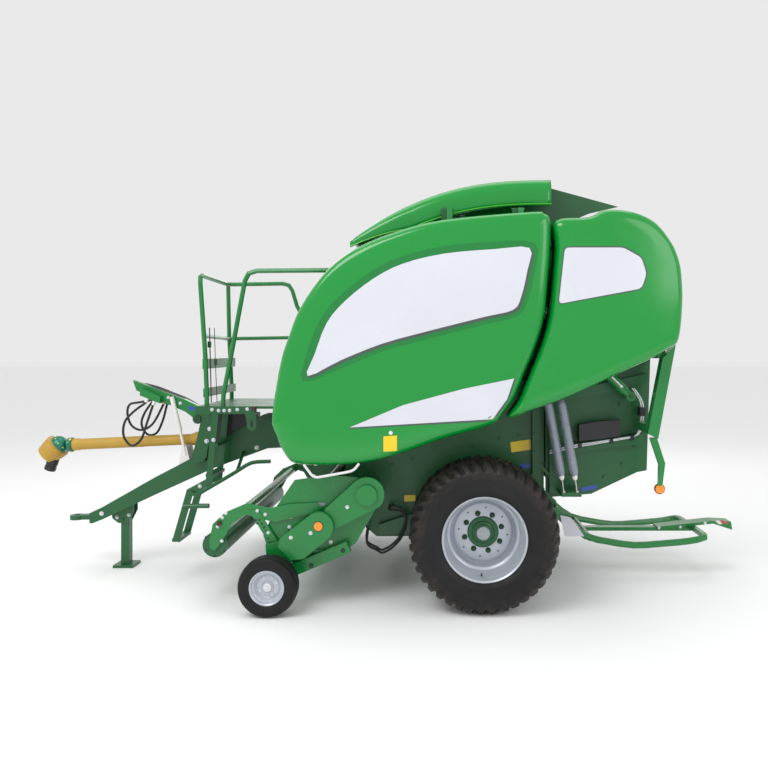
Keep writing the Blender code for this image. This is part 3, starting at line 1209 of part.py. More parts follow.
def chain_covers():
    """The two pressed chain covers on the left end of the pickup."""
    upper_y = (PICKUP_HALF_WIDTH + 0.080, PICKUP_HALF_WIDTH + 0.118)
    upper = [*arc(PICKUP_AXIS, 0.125, -42, 128, 10), (-0.327, 0.711), (-0.345, 0.640), (-0.253, 0.570)]
    dome = rod((PICKUP_AXIS[0], -upper_y[1] + 0.004, PICKUP_AXIS[1]),
               (PICKUP_AXIS[0], -upper_y[1] - 0.028, PICKUP_AXIS[1]), 0.073, 20)
    post = rod((-0.190, -(PICKUP_HALF_WIDTH + SIDE_PLATE + GAP), 0.700),
               (-0.190, -upper_y[0] - 0.004, 0.700), 0.025, 12)
    piece("chain_cover_upper", [prism(upper, *span(LEFT, *upper_y)), dome, post], BRIGHT_GREEN, "pickup")

    lower_y = (PICKUP_HALF_WIDTH + 0.122, PICKUP_HALF_WIDTH + 0.165)
    centre = (-0.366, 0.592)
    lower = [*arc(centre, 0.105, -45, 118, 10), (-0.640, 0.510), (-0.650, 0.450), (-0.560, 0.360),
             (-0.470, 0.370)]
    post = rod((-0.480, -(PICKUP_HALF_WIDTH + SIDE_PLATE + GAP), 0.520),
               (-0.480, -lower_y[0] - 0.004, 0.520), 0.025, 12)
    piece("chain_cover_lower", [prism(lower, *span(LEFT, *lower_y)), post], BRIGHT_GREEN, "pickup")


def feed_rotor():
    """The feed rotor between the walls: a shaft with four-armed stars."""
    x, z = PICKUP_AXIS
    half = WALL_IN - GAP
    shapes = [rod((x, -half, z), (x, half, z), 0.075, 16)]
    for index in range(6):
        y = -0.500 + index * 0.200
        star = []
        for arm in range(4):
            angle = 90 * arm + 13 * index
            for radius, lag in ((0.090, -30), (ROTOR_RADIUS, -5), (ROTOR_RADIUS, 5)):
                star.append((x + radius * math.cos(math.radians(angle + lag)),
                             z + radius * math.sin(math.radians(angle + lag))))
        shapes.append(prism(star, y - 0.006, y + 0.006))
    piece("feed_rotor", shapes, FRAME_GREEN, "feed_rotor")


# ---------------------------------------------------------------- bale ramp
RAMP_HALF = 0.380


def bale_ramp():
    """The tubular ramp behind the chamber with its centre bar."""
    y = RAMP_HALF
    hx, hz = RAMP_HINGE
    path = [(hx + 0.090, -y, 0.475), (1.660, -y, 0.330), (2.050, -y, 0.262), (2.500, -y, 0.300),
            (2.640, -y, 0.330),
            (2.640, y, 0.330), (2.500, y, 0.300), (2.050, y, 0.262), (1.660, y, 0.330),
            (hx + 0.090, y, 0.475)]
    shapes = [sweep(rounded(path, 0.10, 2), RAMP_TUBE_RADIUS, 10)]
    for _, side in SIDES:
        arm = flat_bar((hx, hz), (hx + 0.120, 0.450), side * y, 0.020, 0.070)
        bore = rod((hx, side * (y - 0.1), hz), (hx, side * (y + 0.1), hz), 0.012 + RUNNING_GAP, 12)
        shapes.append(without(arm, bore))
    shapes.append(rod((1.700, -y, 0.322), (1.700, y, 0.322), 0.022, 10))
    shapes.append(block((1.690, 2.640), (-0.040, 0.040), (0.305, 0.335)))
    shapes.append(prism([(2.330, 0.322), (2.330, 0.345), (2.800, 0.395), (2.952, 0.388), (2.961, 0.320),
                         (2.800, 0.372)], -0.070, 0.070))
    piece("bale_ramp", shapes, BRIGHT_GREEN, "bale_ramp")


# ---------------------------------------------------------------- the whole machine
def build():
    for name, side in SIDES:
        wheel(name, side, f"wheel_{name}")
        chamber_wall(name, side)
        side_door(name, side)
        door_handle(name, side)
        rear_panel(name, side)
        tailgate_wall(name, side)
        tailgate_post(name, side)
        belt_springs(name, side)
        tailgate_cylinder(name, side)
        gauge_arm(name, side)
        gauge_wheel(name, side)
    for make in (axle, chassis, net_box, front_belts, roof_cover, tailgate_belts, valve_box, drawbar,
                 hitch_ring,
                 stand, gearbox, pto_shaft, pto_yoke, hose_arm, arm_strut, platform, handrail_front,
                 handrail_side,
                 ladder_upper, ladder_step, pickup_frame, pickup_bands, pickup_reel, windguard_frame,
                 windguard_roller, chain_covers, feed_rotor, bale_ramp):
        make()
    for name in HOSES:
        hose(name)


build()
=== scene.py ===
import json
import math

import bmesh
import bpy
from mathutils import Matrix, Vector
from mathutils.bvhtree import BVHTree


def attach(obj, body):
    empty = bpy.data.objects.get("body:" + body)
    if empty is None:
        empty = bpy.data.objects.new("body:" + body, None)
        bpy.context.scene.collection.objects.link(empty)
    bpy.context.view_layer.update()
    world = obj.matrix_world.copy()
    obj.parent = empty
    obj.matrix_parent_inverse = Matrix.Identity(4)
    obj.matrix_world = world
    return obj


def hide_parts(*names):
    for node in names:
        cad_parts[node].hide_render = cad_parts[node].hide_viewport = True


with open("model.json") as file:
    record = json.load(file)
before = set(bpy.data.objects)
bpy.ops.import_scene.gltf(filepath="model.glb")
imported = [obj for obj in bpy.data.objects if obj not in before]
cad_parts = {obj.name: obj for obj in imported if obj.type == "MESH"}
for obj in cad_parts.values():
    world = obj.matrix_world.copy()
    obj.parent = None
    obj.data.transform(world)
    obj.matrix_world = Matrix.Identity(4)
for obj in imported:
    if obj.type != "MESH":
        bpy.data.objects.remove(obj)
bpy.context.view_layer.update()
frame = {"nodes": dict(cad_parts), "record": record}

LEFT, RIGHT = -1, 1
SIDES = (("left", LEFT), ("right", RIGHT))


# ---------------------------------------------------------------- camera, light and floor
CAMERA_PLACE = (0.49, -6.6, 1.841)
SENSOR, LENS = 36, 36.19
SHIFT_X, SHIFT_Y = -0.0729, -0.0443
SKY_STRENGTH = 0.82
FLOOR_SIZE, FLOOR_COLOUR = 160, (0.95, 0.95, 0.955, 1)
LIGHTS = (      # name, place, target, size, power
    ("key", (-3.5, -5.5, 7.0), (0, -0.5, 1.2), (5.0, 3.0), 260),
    ("fill", (5.5, -6.5, 4.0), (0.6, -0.5, 1.2), (4.0, 3.0), 90),
    ("top", (0.5, 0.5, 7.5), (0.5, 0, 1.5), (7.0, 4.0), 110),
    ("back", (0.5, 7.0, 4.5), (0.5, 0, 1.5), (7.0, 3.0), 90),
)


def set_stage():
    """The camera at the photograph's angle, soft studio light and a plain floor."""
    scene = bpy.context.scene
    scene.view_settings.view_transform = "Standard"
    data = bpy.data.cameras.new("Camera")
    data.sensor_width, data.lens = SENSOR, LENS
    data.shift_x, data.shift_y = SHIFT_X, SHIFT_Y
    camera = bpy.data.objects.new("Camera", data)
    camera.location = CAMERA_PLACE
    camera.rotation_euler = (math.radians(90), 0, 0)
    scene.collection.objects.link(camera)
    scene.camera = camera

    world = bpy.data.worlds.new("Studio")
    world.use_nodes = True
    world.node_tree.nodes["Background"].inputs["Color"].default_value = (1.0, 1.0, 1.0, 1)
    world.node_tree.nodes["Background"].inputs["Strength"].default_value = SKY_STRENGTH
    scene.world = world

    for name, place, target, size, power in LIGHTS:
        light = bpy.data.lights.new(name, "AREA")
        light.shape = "RECTANGLE"
        light.size, light.size_y = size
        light.energy = power
        made = bpy.data.objects.new(name, light)
        made.location = place
        made.rotation_euler = (Vector(target) - Vector(place)).to_track_quat("-Z", "Y").to_euler()
        made.visible_camera = False
        scene.collection.objects.link(made)

    bpy.ops.mesh.primitive_plane_add(size=FLOOR_SIZE, location=(0, 0, 0))
    floor = bpy.context.object
    floor.name = "floor"
    made = bpy.data.materials.new("floor_pale")
    made.use_nodes = True
    shader = made.node_tree.nodes["Principled BSDF"]
    shader.inputs["Base Color"].default_value = FLOOR_COLOUR
    shader.inputs["Roughness"].default_value = 0.9
    shader.inputs["Specular IOR Level"].default_value = 0.1
    floor.data.materials.append(made)


set_stage()


# ---------------------------------------------------------------- materials
class Graph:
    """A small helper round a material's node tree."""

    def __init__(self, name):
        self.material = bpy.data.materials.new(name)
        self.material.use_nodes = True
        self.tree = self.material.node_tree
        self.shader = self.tree.nodes["Principled BSDF"]
        self.place = self.node("ShaderNodeTexCoord").outputs["Object"]

    def node(self, kind, **values):
        made = self.tree.nodes.new(kind)
        for key, value in values.items():
            setattr(made, key, value)
        return made

    def link(self, source, target):
        self.tree.links.new(source, target)

    def noise(self, scale, detail=4.0, rough=0.55):
        made = self.node("ShaderNodeTexNoise")
        made.inputs["Scale"].default_value = scale
        made.inputs["Detail"].default_value = detail
        made.inputs["Roughness"].default_value = rough
        self.link(self.place, made.inputs["Vector"])
        return made.outputs["Fac"]

    def ranged(self, source, low, high, out_low=0.0, out_high=1.0):
        made = self.node("ShaderNodeMapRange")
        for key, value in (("From Min", low), ("From Max", high), ("To Min", out_low), ("To Max", out_high)):
            made.inputs[key].default_value = value
        self.link(source, made.inputs["Value"])
        return made.outputs["Result"]

    def times(self, one, two):
        made = self.node("ShaderNodeMath", operation="MULTIPLY")
        self.link(one, made.inputs[0])
        if isinstance(two, (int, float)):
            made.inputs[1].default_value = two
        else:
            self.link(two, made.inputs[1])
        return made.outputs[0]

    def mix(self, factor, one, two):
        made = self.node("ShaderNodeMix", data_type="RGBA")
        self.link(factor, made.inputs["Factor"])
        for socket, value in ((made.inputs[6], one), (made.inputs[7], two)):
            if isinstance(value, tuple):
                socket.default_value = (*value, 1)
            else:
                self.link(value, socket)
        return made.outputs[2]

    def bump(self, source, strength, distance):
        made = self.node("ShaderNodeBump")
        made.inputs["Strength"].default_value = strength
        made.inputs["Distance"].default_value = distance
        self.link(source, made.inputs["Height"])
        self.link(made.outputs["Normal"], self.shader.inputs["Normal"])


def shade(colour, factor):
    return tuple(min(1.0, part * factor) for part in colour)


WORN = (0.45, 0.55, 0.4)


def surface(name, colour, rough, metallic=0.0, coat=0.0, mottle=0.08, grain=0.0, grain_scale=300.0, dust=0.0,
            wear=0.0, dust_colour=(0.3, 0.25, 0.17)):
    """A finish with uneven colour, a fine grain, settled dust and worn edges."""
    g = Graph(name)
    broad = g.noise(1.7, 4.0)
    tone = g.mix(g.ranged(broad, 0.3, 0.7), shade(colour, 1 - mottle), shade(colour, 1 + mottle))
    fine = g.noise(grain_scale, 2.0)
    tone = g.mix(g.ranged(fine, 0.25, 0.75, 0.0, 0.08), tone, shade(colour, 1.4))
    if wear:
        chips = g.ranged(g.noise(70.0, 6.0, 0.7), 0.665, 0.72, 0.0, wear)
        region = g.ranged(g.noise(2.2, 2.0), 0.5, 0.62)
        tone = g.mix(g.times(chips, region), tone, WORN)
    if dust:
        up = g.node("ShaderNodeSeparateXYZ")
        g.link(g.node("ShaderNodeNewGeometry").outputs["Normal"], up.inputs[0])
        lying = g.ranged(up.outputs["Z"], 0.2, 1.0, 0.15, 1.0)
        cloud = g.ranged(g.noise(5.0, 6.0, 0.6), 0.35, 0.75, 0.0, dust)
        tone = g.mix(g.times(lying, cloud), tone, dust_colour)
    g.link(tone, g.shader.inputs["Base Color"])
    g.link(g.ranged(g.noise(6.0, 5.0), 0.3, 0.7, max(0.02, rough - 0.05), rough + 0.07),
           g.shader.inputs["Roughness"])
    if grain:
        g.bump(fine, grain, 0.002)
    g.shader.inputs["Metallic"].default_value = metallic
    g.shader.inputs["Coat Weight"].default_value = coat
    g.shader.inputs["Coat Roughness"].default_value = 0.08
    return g.material


def tyre_material():
    """Black rubber with brown earth on the lugs and in the grooves."""
    g = Graph("tyre_rubber_worn")
    tread = g.node("ShaderNodeAttribute", attribute_name="tread").outputs["Fac"]
    cloud = g.ranged(g.noise(14.0, 7.0, 0.65), 0.35, 0.7)
    tone = g.mix(g.ranged(g.noise(3.0, 4.0), 0.3, 0.7), (0.006, 0.006, 0.007), (0.012, 0.012, 0.013))
    tone = g.mix(g.times(g.times(tread, cloud), 0.55), tone, (0.048, 0.034, 0.025))
    tone = g.mix(g.ranged(g.noise(60.0, 4.0), 0.6, 0.78, 0.0, 0.1), tone, (0.06, 0.055, 0.05))
    g.link(tone, g.shader.inputs["Base Color"])
    g.link(g.ranged(g.noise(18.0, 5.0), 0.3, 0.7, 0.36, 0.58), g.shader.inputs["Roughness"])
    g.shader.inputs["Specular IOR Level"].default_value = 0.28
    g.bump(g.noise(180.0, 4.0), 0.25, 0.002)
    return g.material


def belt_material():
    """Rubber belting with a moulded grip pattern."""
    g = Graph("belt_rubber_grip")
    wave = g.node("ShaderNodeTexWave", wave_type="BANDS", bands_direction="DIAGONAL")
    wave.inputs["Scale"].default_value = 28.0
    wave.inputs["Distortion"].default_value = 0.6
    g.link(g.place, wave.inputs["Vector"])
    ribs = wave.outputs["Fac"]
    tone = g.mix(g.ranged(g.noise(3.0, 5.0), 0.3, 0.7), (0.012, 0.012, 0.013), (0.028, 0.026, 0.024))
    tone = g.mix(g.times(g.ranged(ribs, 0.5, 1.0), 0.25), tone, (0.075, 0.065, 0.05))
    g.link(tone, g.shader.inputs["Base Color"])
    g.link(g.ranged(g.noise(10.0, 4.0), 0.3, 0.7, 0.55, 0.8), g.shader.inputs["Roughness"])
    g.bump(ribs, 0.6, 0.004)
    return g.material


def zinc_material():
    """Galvanised sheet and bolts with a soft spangle."""
    g = Graph("zinc_plate")
    cells = g.node("ShaderNodeTexVoronoi")
    cells.inputs["Scale"].default_value = 90.0
    g.link(g.place, cells.inputs["Vector"])
    tone = g.mix(g.ranged(cells.outputs["Distance"], 0.0, 0.8), (0.6, 0.62, 0.66), (0.76, 0.77, 0.8))
    g.link(tone, g.shader.inputs["Base Color"])
    g.link(g.ranged(g.noise(20.0, 4.0), 0.3, 0.7, 0.28, 0.48), g.shader.inputs["Roughness"])
    g.shader.inputs["Metallic"].default_value = 0.55
    return g.material


PANEL = surface("panel_paint", (0.001, 0.262, 0.032), 0.14, coat=0.22, mottle=0.03, dust=0.02, wear=0.06)
FRAME = surface("frame_paint", (0.004, 0.098, 0.024), 0.36, coat=0.1, mottle=0.05, grain=0.1, grain_scale=180,
                dust=0.07, wear=0.3)
BRIGHT = surface("bright_paint", (0.004, 0.19, 0.034), 0.27, coat=0.2, mottle=0.04, grain=0.06,
                 grain_scale=180, dust=0.03, wear=0.25)
DARK = surface("dark_paint", (0.003, 0.055, 0.014), 0.42, coat=0.05, mottle=0.08, grain=0.1, dust=0.08,
               wear=0.2)
# Painted shade: a darker green laid as a film round each door plate, standing for the shade of the recess the
# plate sits in.
RECESS_SHADE = surface("recess_painted_shade", (0.002, 0.19, 0.03), 0.2, coat=0.2, mottle=0.03, dust=0.02)
# Painted highlight: lime strips laid along rounded edges stand for the light they catch.
LIME_HIGHLIGHT = surface("lime_painted_highlight", (0.06, 0.43, 0.022), 0.28, coat=0.2, mottle=0.04, dust=0.02)
SILVER = surface("rim_silver", (0.5, 0.53, 0.585), 0.36, metallic=0.35, coat=0.2, mottle=0.06, grain=0.08,
                 grain_scale=240, dust=0.1)
GREY = surface("cap_grey", (0.33, 0.36, 0.37), 0.35, metallic=0.6, mottle=0.1, dust=0.1)
PLATE = surface("plate_white", (0.64, 0.65, 0.715), 0.22, coat=0.25, mottle=0.03)
# Painted shadow: a dark film under each white plate, showing as a shadow line round its edge.
PLATE_SHADOW_LINE = surface("plate_shadow_line", (0.055, 0.085, 0.07), 0.35, coat=0.2, mottle=0.1)
WHITE = surface("white_plastic", (0.78, 0.76, 0.74), 0.4, mottle=0.05, dust=0.12)
PEARL = surface("handle_white", (0.74, 0.72, 0.75), 0.3, coat=0.3, mottle=0.05, dust=0.05)
STEEL = surface("bare_steel", (0.5, 0.5, 0.52), 0.3, metallic=0.9, mottle=0.12, grain=0.15, grain_scale=260)
CHROME = surface("chromed_rod", (0.75, 0.75, 0.77), 0.1, metallic=1.0, mottle=0.03)
SPRING = surface("spring_zinc", (0.42, 0.46, 0.53), 0.33, metallic=0.55, mottle=0.12, dust=0.06)
BLACK = surface("black_plastic", (0.013, 0.013, 0.016), 0.42, mottle=0.2, grain=0.2, grain_scale=420,
                dust=0.06)
RUBBER = surface("hose_rubber", (0.01, 0.01, 0.012), 0.42, mottle=0.2, grain=0.2, grain_scale=500, dust=0.05)
OCHRE = surface("pto_ochre", (0.5, 0.3, 0.038), 0.48, mottle=0.1, grain=0.25, grain_scale=160, dust=0.25,
                dust_colour=(0.18, 0.12, 0.04))
TEAL = surface("collar_teal", (0.02, 0.2, 0.13), 0.3, metallic=0.35, mottle=0.35, grain=0.3, grain_scale=60)
YELLOW = surface("sticker_yellow", (0.82, 0.58, 0.012), 0.35, coat=0.2, mottle=0.06, dust=0.05)
BLUE = surface("sticker_blue", (0.02, 0.08, 0.42), 0.35, coat=0.2, mottle=0.06, dust=0.05)
NAVY = surface("sticker_navy", (0.02, 0.025, 0.12), 0.35, coat=0.2, mottle=0.08)
AMBER = surface("amber_lens", (0.95, 0.27, 0.004), 0.18, coat=0.6, mottle=0.08)
RED = surface("red_lens", (0.65, 0.015, 0.02), 0.2, coat=0.6, mottle=0.08)
MAROON = surface("maroon_plastic", (0.055, 0.01, 0.016), 0.38, mottle=0.2)
TYRE = tyre_material()
BELT = belt_material()
ZINC = zinc_material()


# ---------------------------------------------------------------- shapes
def prism(outline, start, end, axis="y"):
    """A flat outline carried along y from start to end, or along x."""
    def point(pair, along):
        a, b = pair
        return (a, along, b) if axis == "y" else (along, a, b)

    mesh = bmesh.new()
    low = [mesh.verts.new(point(pair, start)) for pair in outline]
    top = [mesh.verts.new(point(pair, end)) for pair in outline]
    mesh.faces.new(low)
    mesh.faces.new(top[::-1])
    for index in range(len(outline)):
        nxt = (index + 1) % len(outline)
        mesh.faces.new((low[nxt], low[index], top[index], top[nxt]))
    bmesh.ops.recalc_face_normals(mesh, faces=mesh.faces)
    return mesh


def block(x, y, z):
    """A box from three pairs of limits."""
    return prism([(x[0], z[0]), (x[1], z[0]), (x[1], z[1]), (x[0], z[1])], y[0], y[1])


def turned(profile, base, direction, sides=32, closed=False):
    """A (radius, along) profile turned about the line from base in a direction."""
    mesh = bmesh.new()
    rings = []
    for step in range(sides):
        angle = math.tau * step / sides
        rings.append([mesh.verts.new((r * math.cos(angle), r * math.sin(angle), along))
                      for r, along in profile])
    count = len(profile)
    for step in range(sides):
        one, two = rings[step], rings[(step + 1) % sides]
        for index in range(count if closed else count - 1):
            nxt = (index + 1) % count
            mesh.faces.new((one[index], two[index], two[nxt], one[nxt]))
    bmesh.ops.remove_doubles(mesh, verts=mesh.verts, dist=1e-6)
    if not closed:
        edges = [edge for edge in mesh.edges if edge.is_boundary]
        if edges:
            bmesh.ops.holes_fill(mesh, edges=edges)
    bmesh.ops.recalc_face_normals(mesh, faces=mesh.faces)
    turn = Vector((0, 0, 1)).rotation_difference(Vector(direction).normalized()).to_matrix()
    bmesh.ops.rotate(mesh, verts=mesh.verts, cent=(0, 0, 0), matrix=turn)
    bmesh.ops.translate(mesh, verts=mesh.verts, vec=base)
    return mesh


def tube(points, radius, sides=12, closed=False):
    """A round bar along a line of points. The radius is a number or one for each point."""
    points = [Vector(point) for point in points]
    count = len(points)
    radii = radius if isinstance(radius, (list, tuple)) else [radius] * count
    mesh = bmesh.new()
    rings = []
    side = (points[1] - points[0]).orthogonal().normalized()
    for index, point in enumerate(points):
        if closed:
            tangent = (points[(index + 1) % count] - points[index - 1]).normalized()
        else:
            tangent = (points[min(index + 1, count - 1)] - points[max(index - 1, 0)]).normalized()
        side = (side - tangent * side.dot(tangent)).normalized()
        up = tangent.cross(side)
        rings.append([mesh.verts.new(point + (side * math.cos(math.tau * k / sides)
                                              + up * math.sin(math.tau * k / sides)) * radii[index])
                      for k in range(sides)])
    pairs = list(zip(rings, rings[1:]))
    if closed:
        pairs.append((rings[-1], rings[0]))
    for one, two in pairs:
        for k in range(sides):
            nxt = (k + 1) % sides
            mesh.faces.new((one[k], one[nxt], two[nxt], two[k]))
    if not closed:
        mesh.faces.new(rings[0][::-1])
        mesh.faces.new(rings[-1])
    bmesh.ops.recalc_face_normals(mesh, faces=mesh.faces)
    return mesh


def eased(a, b, c, d, t):
    """A point on the Catmull-Rom curve from b to c."""
    return 0.5 * (2 * b + (c - a) * t + (2 * a - 5 * b + 4 * c - d) * t ** 2
                  + (3 * b - a - 3 * c + d) * t ** 3)


def smooth_line(points, steps):
    """An open Catmull-Rom line through the points."""
    spots = [Vector(point) for point in points]
    spots = [2 * spots[0] - spots[1], *spots, 2 * spots[-1] - spots[-2]]
    line = [eased(*four, step / steps) for four in zip(spots, spots[1:], spots[2:], spots[3:])
            for step in range(steps)]
    return line + [spots[-2]]


def smooth_loop(outline, steps):
    """A closed Catmull-Rom outline."""
    spots = [Vector(point) for point in outline]
    count = len(spots)
    return [tuple(eased(*(spots[(index + shift) % count] for shift in (-1, 0, 1, 2)), step / steps))
            for index in range(count) for step in range(steps)]


def corner_curve(before, corner, after, radius, share, steps):
    """The curve that cuts a corner, reaching no further than a share of either side."""
    into, out = before - corner, after - corner
    reach = min(radius, into.length / share, out.length / share)
    start, end = corner + into.normalized() * reach, corner + out.normalized() * reach
    curve = []
    for step in range(steps + 1):
        t = step / steps
        curve.append(start * (1 - t) ** 2 + corner * 2 * t * (1 - t) + end * t ** 2)
    return curve


def rounded(path, radius, steps=5):
    """A path with each inner corner replaced by a curve of that reach."""
    points = [Vector(point) for point in path]
    line = [points[0]]
    for three in zip(points, points[1:], points[2:]):
        line += corner_curve(*three, radius, 2.1, steps)
    return line + [points[-1]]


def rounded_outline(outline, radius, steps=4):
    """A closed outline with rounded corners."""
    spots = [Vector(point) for point in outline]
    line = []
    for index, corner in enumerate(spots):
        line += corner_curve(spots[index - 1], corner, spots[(index + 1) % len(spots)], radius, 2.2, steps)
    return [tuple(point) for point in line]


def span(side, low, high):
    """Two distances from the middle plane as a lowest and a highest y."""
    return (side * high, side * low) if side < 0 else (side * low, side * high)


def disc(x, y, z, radius, depth, side=LEFT, sides=24, chamfer=0.0015):
    """A round boss on a face square to y, growing outwards on its side."""
    profile = [(0, 0), (radius, 0), (radius, depth - chamfer), (radius - chamfer, depth), (0, depth)]
    return turned(profile, (x, y, z), (0, side, 0), sides)


def hex_bolt(place, direction, across=0.024, height=0.012):
    """A washer and a hexagon head."""
    place, direction = Vector(place), Vector(direction).normalized()
    washer = turned([(0, 0), (across * 0.78, 0), (across * 0.78, 0.002), (0, 0.002)], place, direction, 16)
    head = turned([(0, 0.0018), (across * 0.56, 0.0018), (across * 0.58, height * 0.8),
                   (across * 0.46, height), (0, height)], place, direction, 6)
    return [washer, head]


def join(shapes):
    """Every shape in one mesh, without joining their surfaces."""
    whole = bmesh.new()
    for shape in shapes:
        data = bpy.data.meshes.new("part")
        shape.to_mesh(data)
        shape.free()
        whole.from_mesh(data)
        bpy.data.meshes.remove(data)
    return whole


def put(name, body, finish, shapes, stands_for=(), smooth=35, bevel=0.0):
    """One visible piece on a body."""
    mesh = join(shapes)
    data = bpy.data.meshes.new(name)
    mesh.to_mesh(data)
    mesh.free()
    made = bpy.data.objects.new(name, data)
    bpy.context.scene.collection.objects.link(made)
    data.materials.append(finish)
    data.shade_smooth()
    data.set_sharp_from_angle(angle=math.radians(smooth))
    if bevel:
        add_bevel(made, bevel)
    if stands_for:
        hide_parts(*stands_for)
    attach(made, body)
    return made


def add_bevel(made, width, segments=2):
    edge = made.modifiers.new("Edge", "BEVEL")
    edge.width = width
    edge.segments = segments
    edge.limit_method = "ANGLE"
    edge.angle_limit = math.radians(38)
    edge.harden_normals = True


def body_of(node):
    return next(body for body, nodes in frame["record"]["behaviour"]["bodies"].items() if node in nodes)


def finish_node(node, finish, bevel=0.0):
    """A carried-over node with its finish and softened edges."""
    made = frame["nodes"][node]
    made.data.materials.clear()
    made.data.materials.append(finish)
    if bevel:
        add_bevel(made, bevel)


# ---------------------------------------------------------------- hoses on the arm
COUPLER_LOW = ((-2.02, 1.462), (-1.85, 1.395))
HOSES = {
    "hose_left": (-0.132, -1.962, -1.900, [(-2.070, 1.330), (-2.150, 1.240), (-2.160, 1.120),
                                           (-2.095, 1.040), (-2.015, 1.090), (-1.965, 1.230)]),
    "hose_middle": (0.070, -1.992, -1.885, [(-2.100, 1.390), (-2.190, 1.370), (-2.210, 1.290),
                                            (-2.175, 1.190), (-2.090, 1.150), (-1.990, 1.205)]),
    "hose_right": (0.100, -1.980, -1.865, [(-2.070, 1.300), (-2.100, 1.200), (-2.050, 1.110),
                                           (-1.970, 1.120), (-1.915, 1.230)]),
}
HOSE_RADIUS = 0.01


def coupler_point(x, y, reach):
    """A point that far out from the coupler plate's lower face."""
    (x1, z1), (x2, z2) = COUPLER_LOW
    along = Vector((x2 - x1, z2 - z1)).normalized()
    z = z1 + (z2 - z1) * (x - x1) / (x2 - x1)
    return (x + along.y * reach, y, z - along.x * reach)


def make_cord(name, line):
    """A hose as a curve that stands for its CAD solid."""
    data = bpy.data.curves.new(f"cord_{name}", "CURVE")
    data.dimensions = "3D"
    data.bevel_depth = HOSE_RADIUS
    data.bevel_resolution = 4
    data.use_fill_caps = True
    spline = data.splines.new("POLY")
    spline.points.add(len(line) - 1)
    for point, spot in zip(spline.points, line):
        point.co = (*spot, 1)
    data.materials.append(RUBBER)
    made = bpy.data.objects.new(f"cord_{name}", data)
    bpy.context.scene.collection.objects.link(made)
    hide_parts(name)
    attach(made, body_of(name))


def hoses():
    """Three hoses, each looping down from one coupler of the plate and back to another."""
    for name, (y, leaves, meets, loop) in HOSES.items():
        start = [coupler_point(leaves, y, reach) for reach in (0.0006, 0.02, 0.045)]
        end = [coupler_point(meets, y, reach) for reach in (0.045, 0.02, 0.0006)]
        make_cord(name, smooth_line(start + [(x, y, z) for x, z in loop] + end, 4))


hoses()


# ---------------------------------------------------------------- wheels
WHEEL_X, WHEEL_Y, AXLE_Z = 0.8, 1.03, 0.53
TYRE_RADIUS, TYRE_HALF = 0.53, 0.28
SEAT = 0.29


LUGS, LUG_DEPTH, SHOULDER_DEPTH = 40, 0.022, 0.014


def lug_height(turn, across):
    """Share of the tread depth at a share of a turn and of the half width, from curved and staggered lugs."""
    lean = 0.95 * abs(across) ** 1.3
    phase = (turn * LUGS + lean + (0.5 if across > 0 else 0.0)) % 1.0
    ramp = 0.16
    width = 0.74 + 0.04 * abs(across)
    rise = min(1.0, phase / ramp, max(0.0, (width - phase) / ramp))
    centre = min(1.0, max(0.0, (abs(across) - 0.015) / 0.05))
    return rise * (0.35 + 0.65 * centre) if abs(across) < 0.065 else rise


def tyre(name, side):
    """A flotation tyre: curved lugs over a rounded crown, and a plain sidewall with rings."""
    mesh = bmesh.new()
    turns, crown = 480, 36
    wall = [(0.4575, 1.0), (0.435, 1.0), (0.412, 0.996), (0.405, 1.004), (0.398, 0.996), (0.372, 0.985),
            (0.345, 0.962), (0.338, 0.968), (0.33, 0.95), (0.312, 0.915), (0.302, 0.885), (SEAT, 0.845)]
    rows = []
    for index in range(crown + 1):
        share = -1 + 2 * index / crown
        y = share * 0.985
        edge = max(0.0, (abs(y) - 0.66) / 0.325)
        rows.append((TYRE_RADIUS - 0.001 - 0.052 * edge ** 1.8, y, True))
    low = [(r, -u, False) for r, u in wall[::-1]]
    high = [(r, u, False) for r, u in wall]
    profile = low + rows + high
    layer = mesh.verts.layers.float.new("tread")
    rings = []
    for step in range(turns):
        turn = step / turns
        angle = math.tau * turn
        ring = []
        for r, u, is_crown in profile:
            tread = 0.0
            if is_crown:
                h = lug_height(turn, u)
                depth = LUG_DEPTH if abs(u) < 0.9 else SHOULDER_DEPTH
                tread = 1.0
                r = r - depth * (1 - h)
            elif r > 0.43:
                h = lug_height(turn, math.copysign(0.99, u))
                r = r - 0.004 * (1 - h)
                u = u * (0.985 + 0.015 * h)
                tread = 0.7
            vert = mesh.verts.new((WHEEL_X + r * math.cos(angle), side * WHEEL_Y + u * TYRE_HALF * 0.999,
                                   AXLE_Z + r * math.sin(angle)))
            vert[layer] = tread
            ring.append(vert)
        rings.append(ring)
    for one, two in zip(rings, rings[1:] + rings[:1]):
        for index in range(len(profile) - 1):
            mesh.faces.new((one[index], two[index], two[index + 1], one[index + 1]))
    bmesh.ops.recalc_face_normals(mesh, faces=mesh.faces)
    put(f"tyre_tread_{name}", f"wheel_{name}", TYRE, [mesh], stands_for=[f"tyre_{name}"], smooth=48)


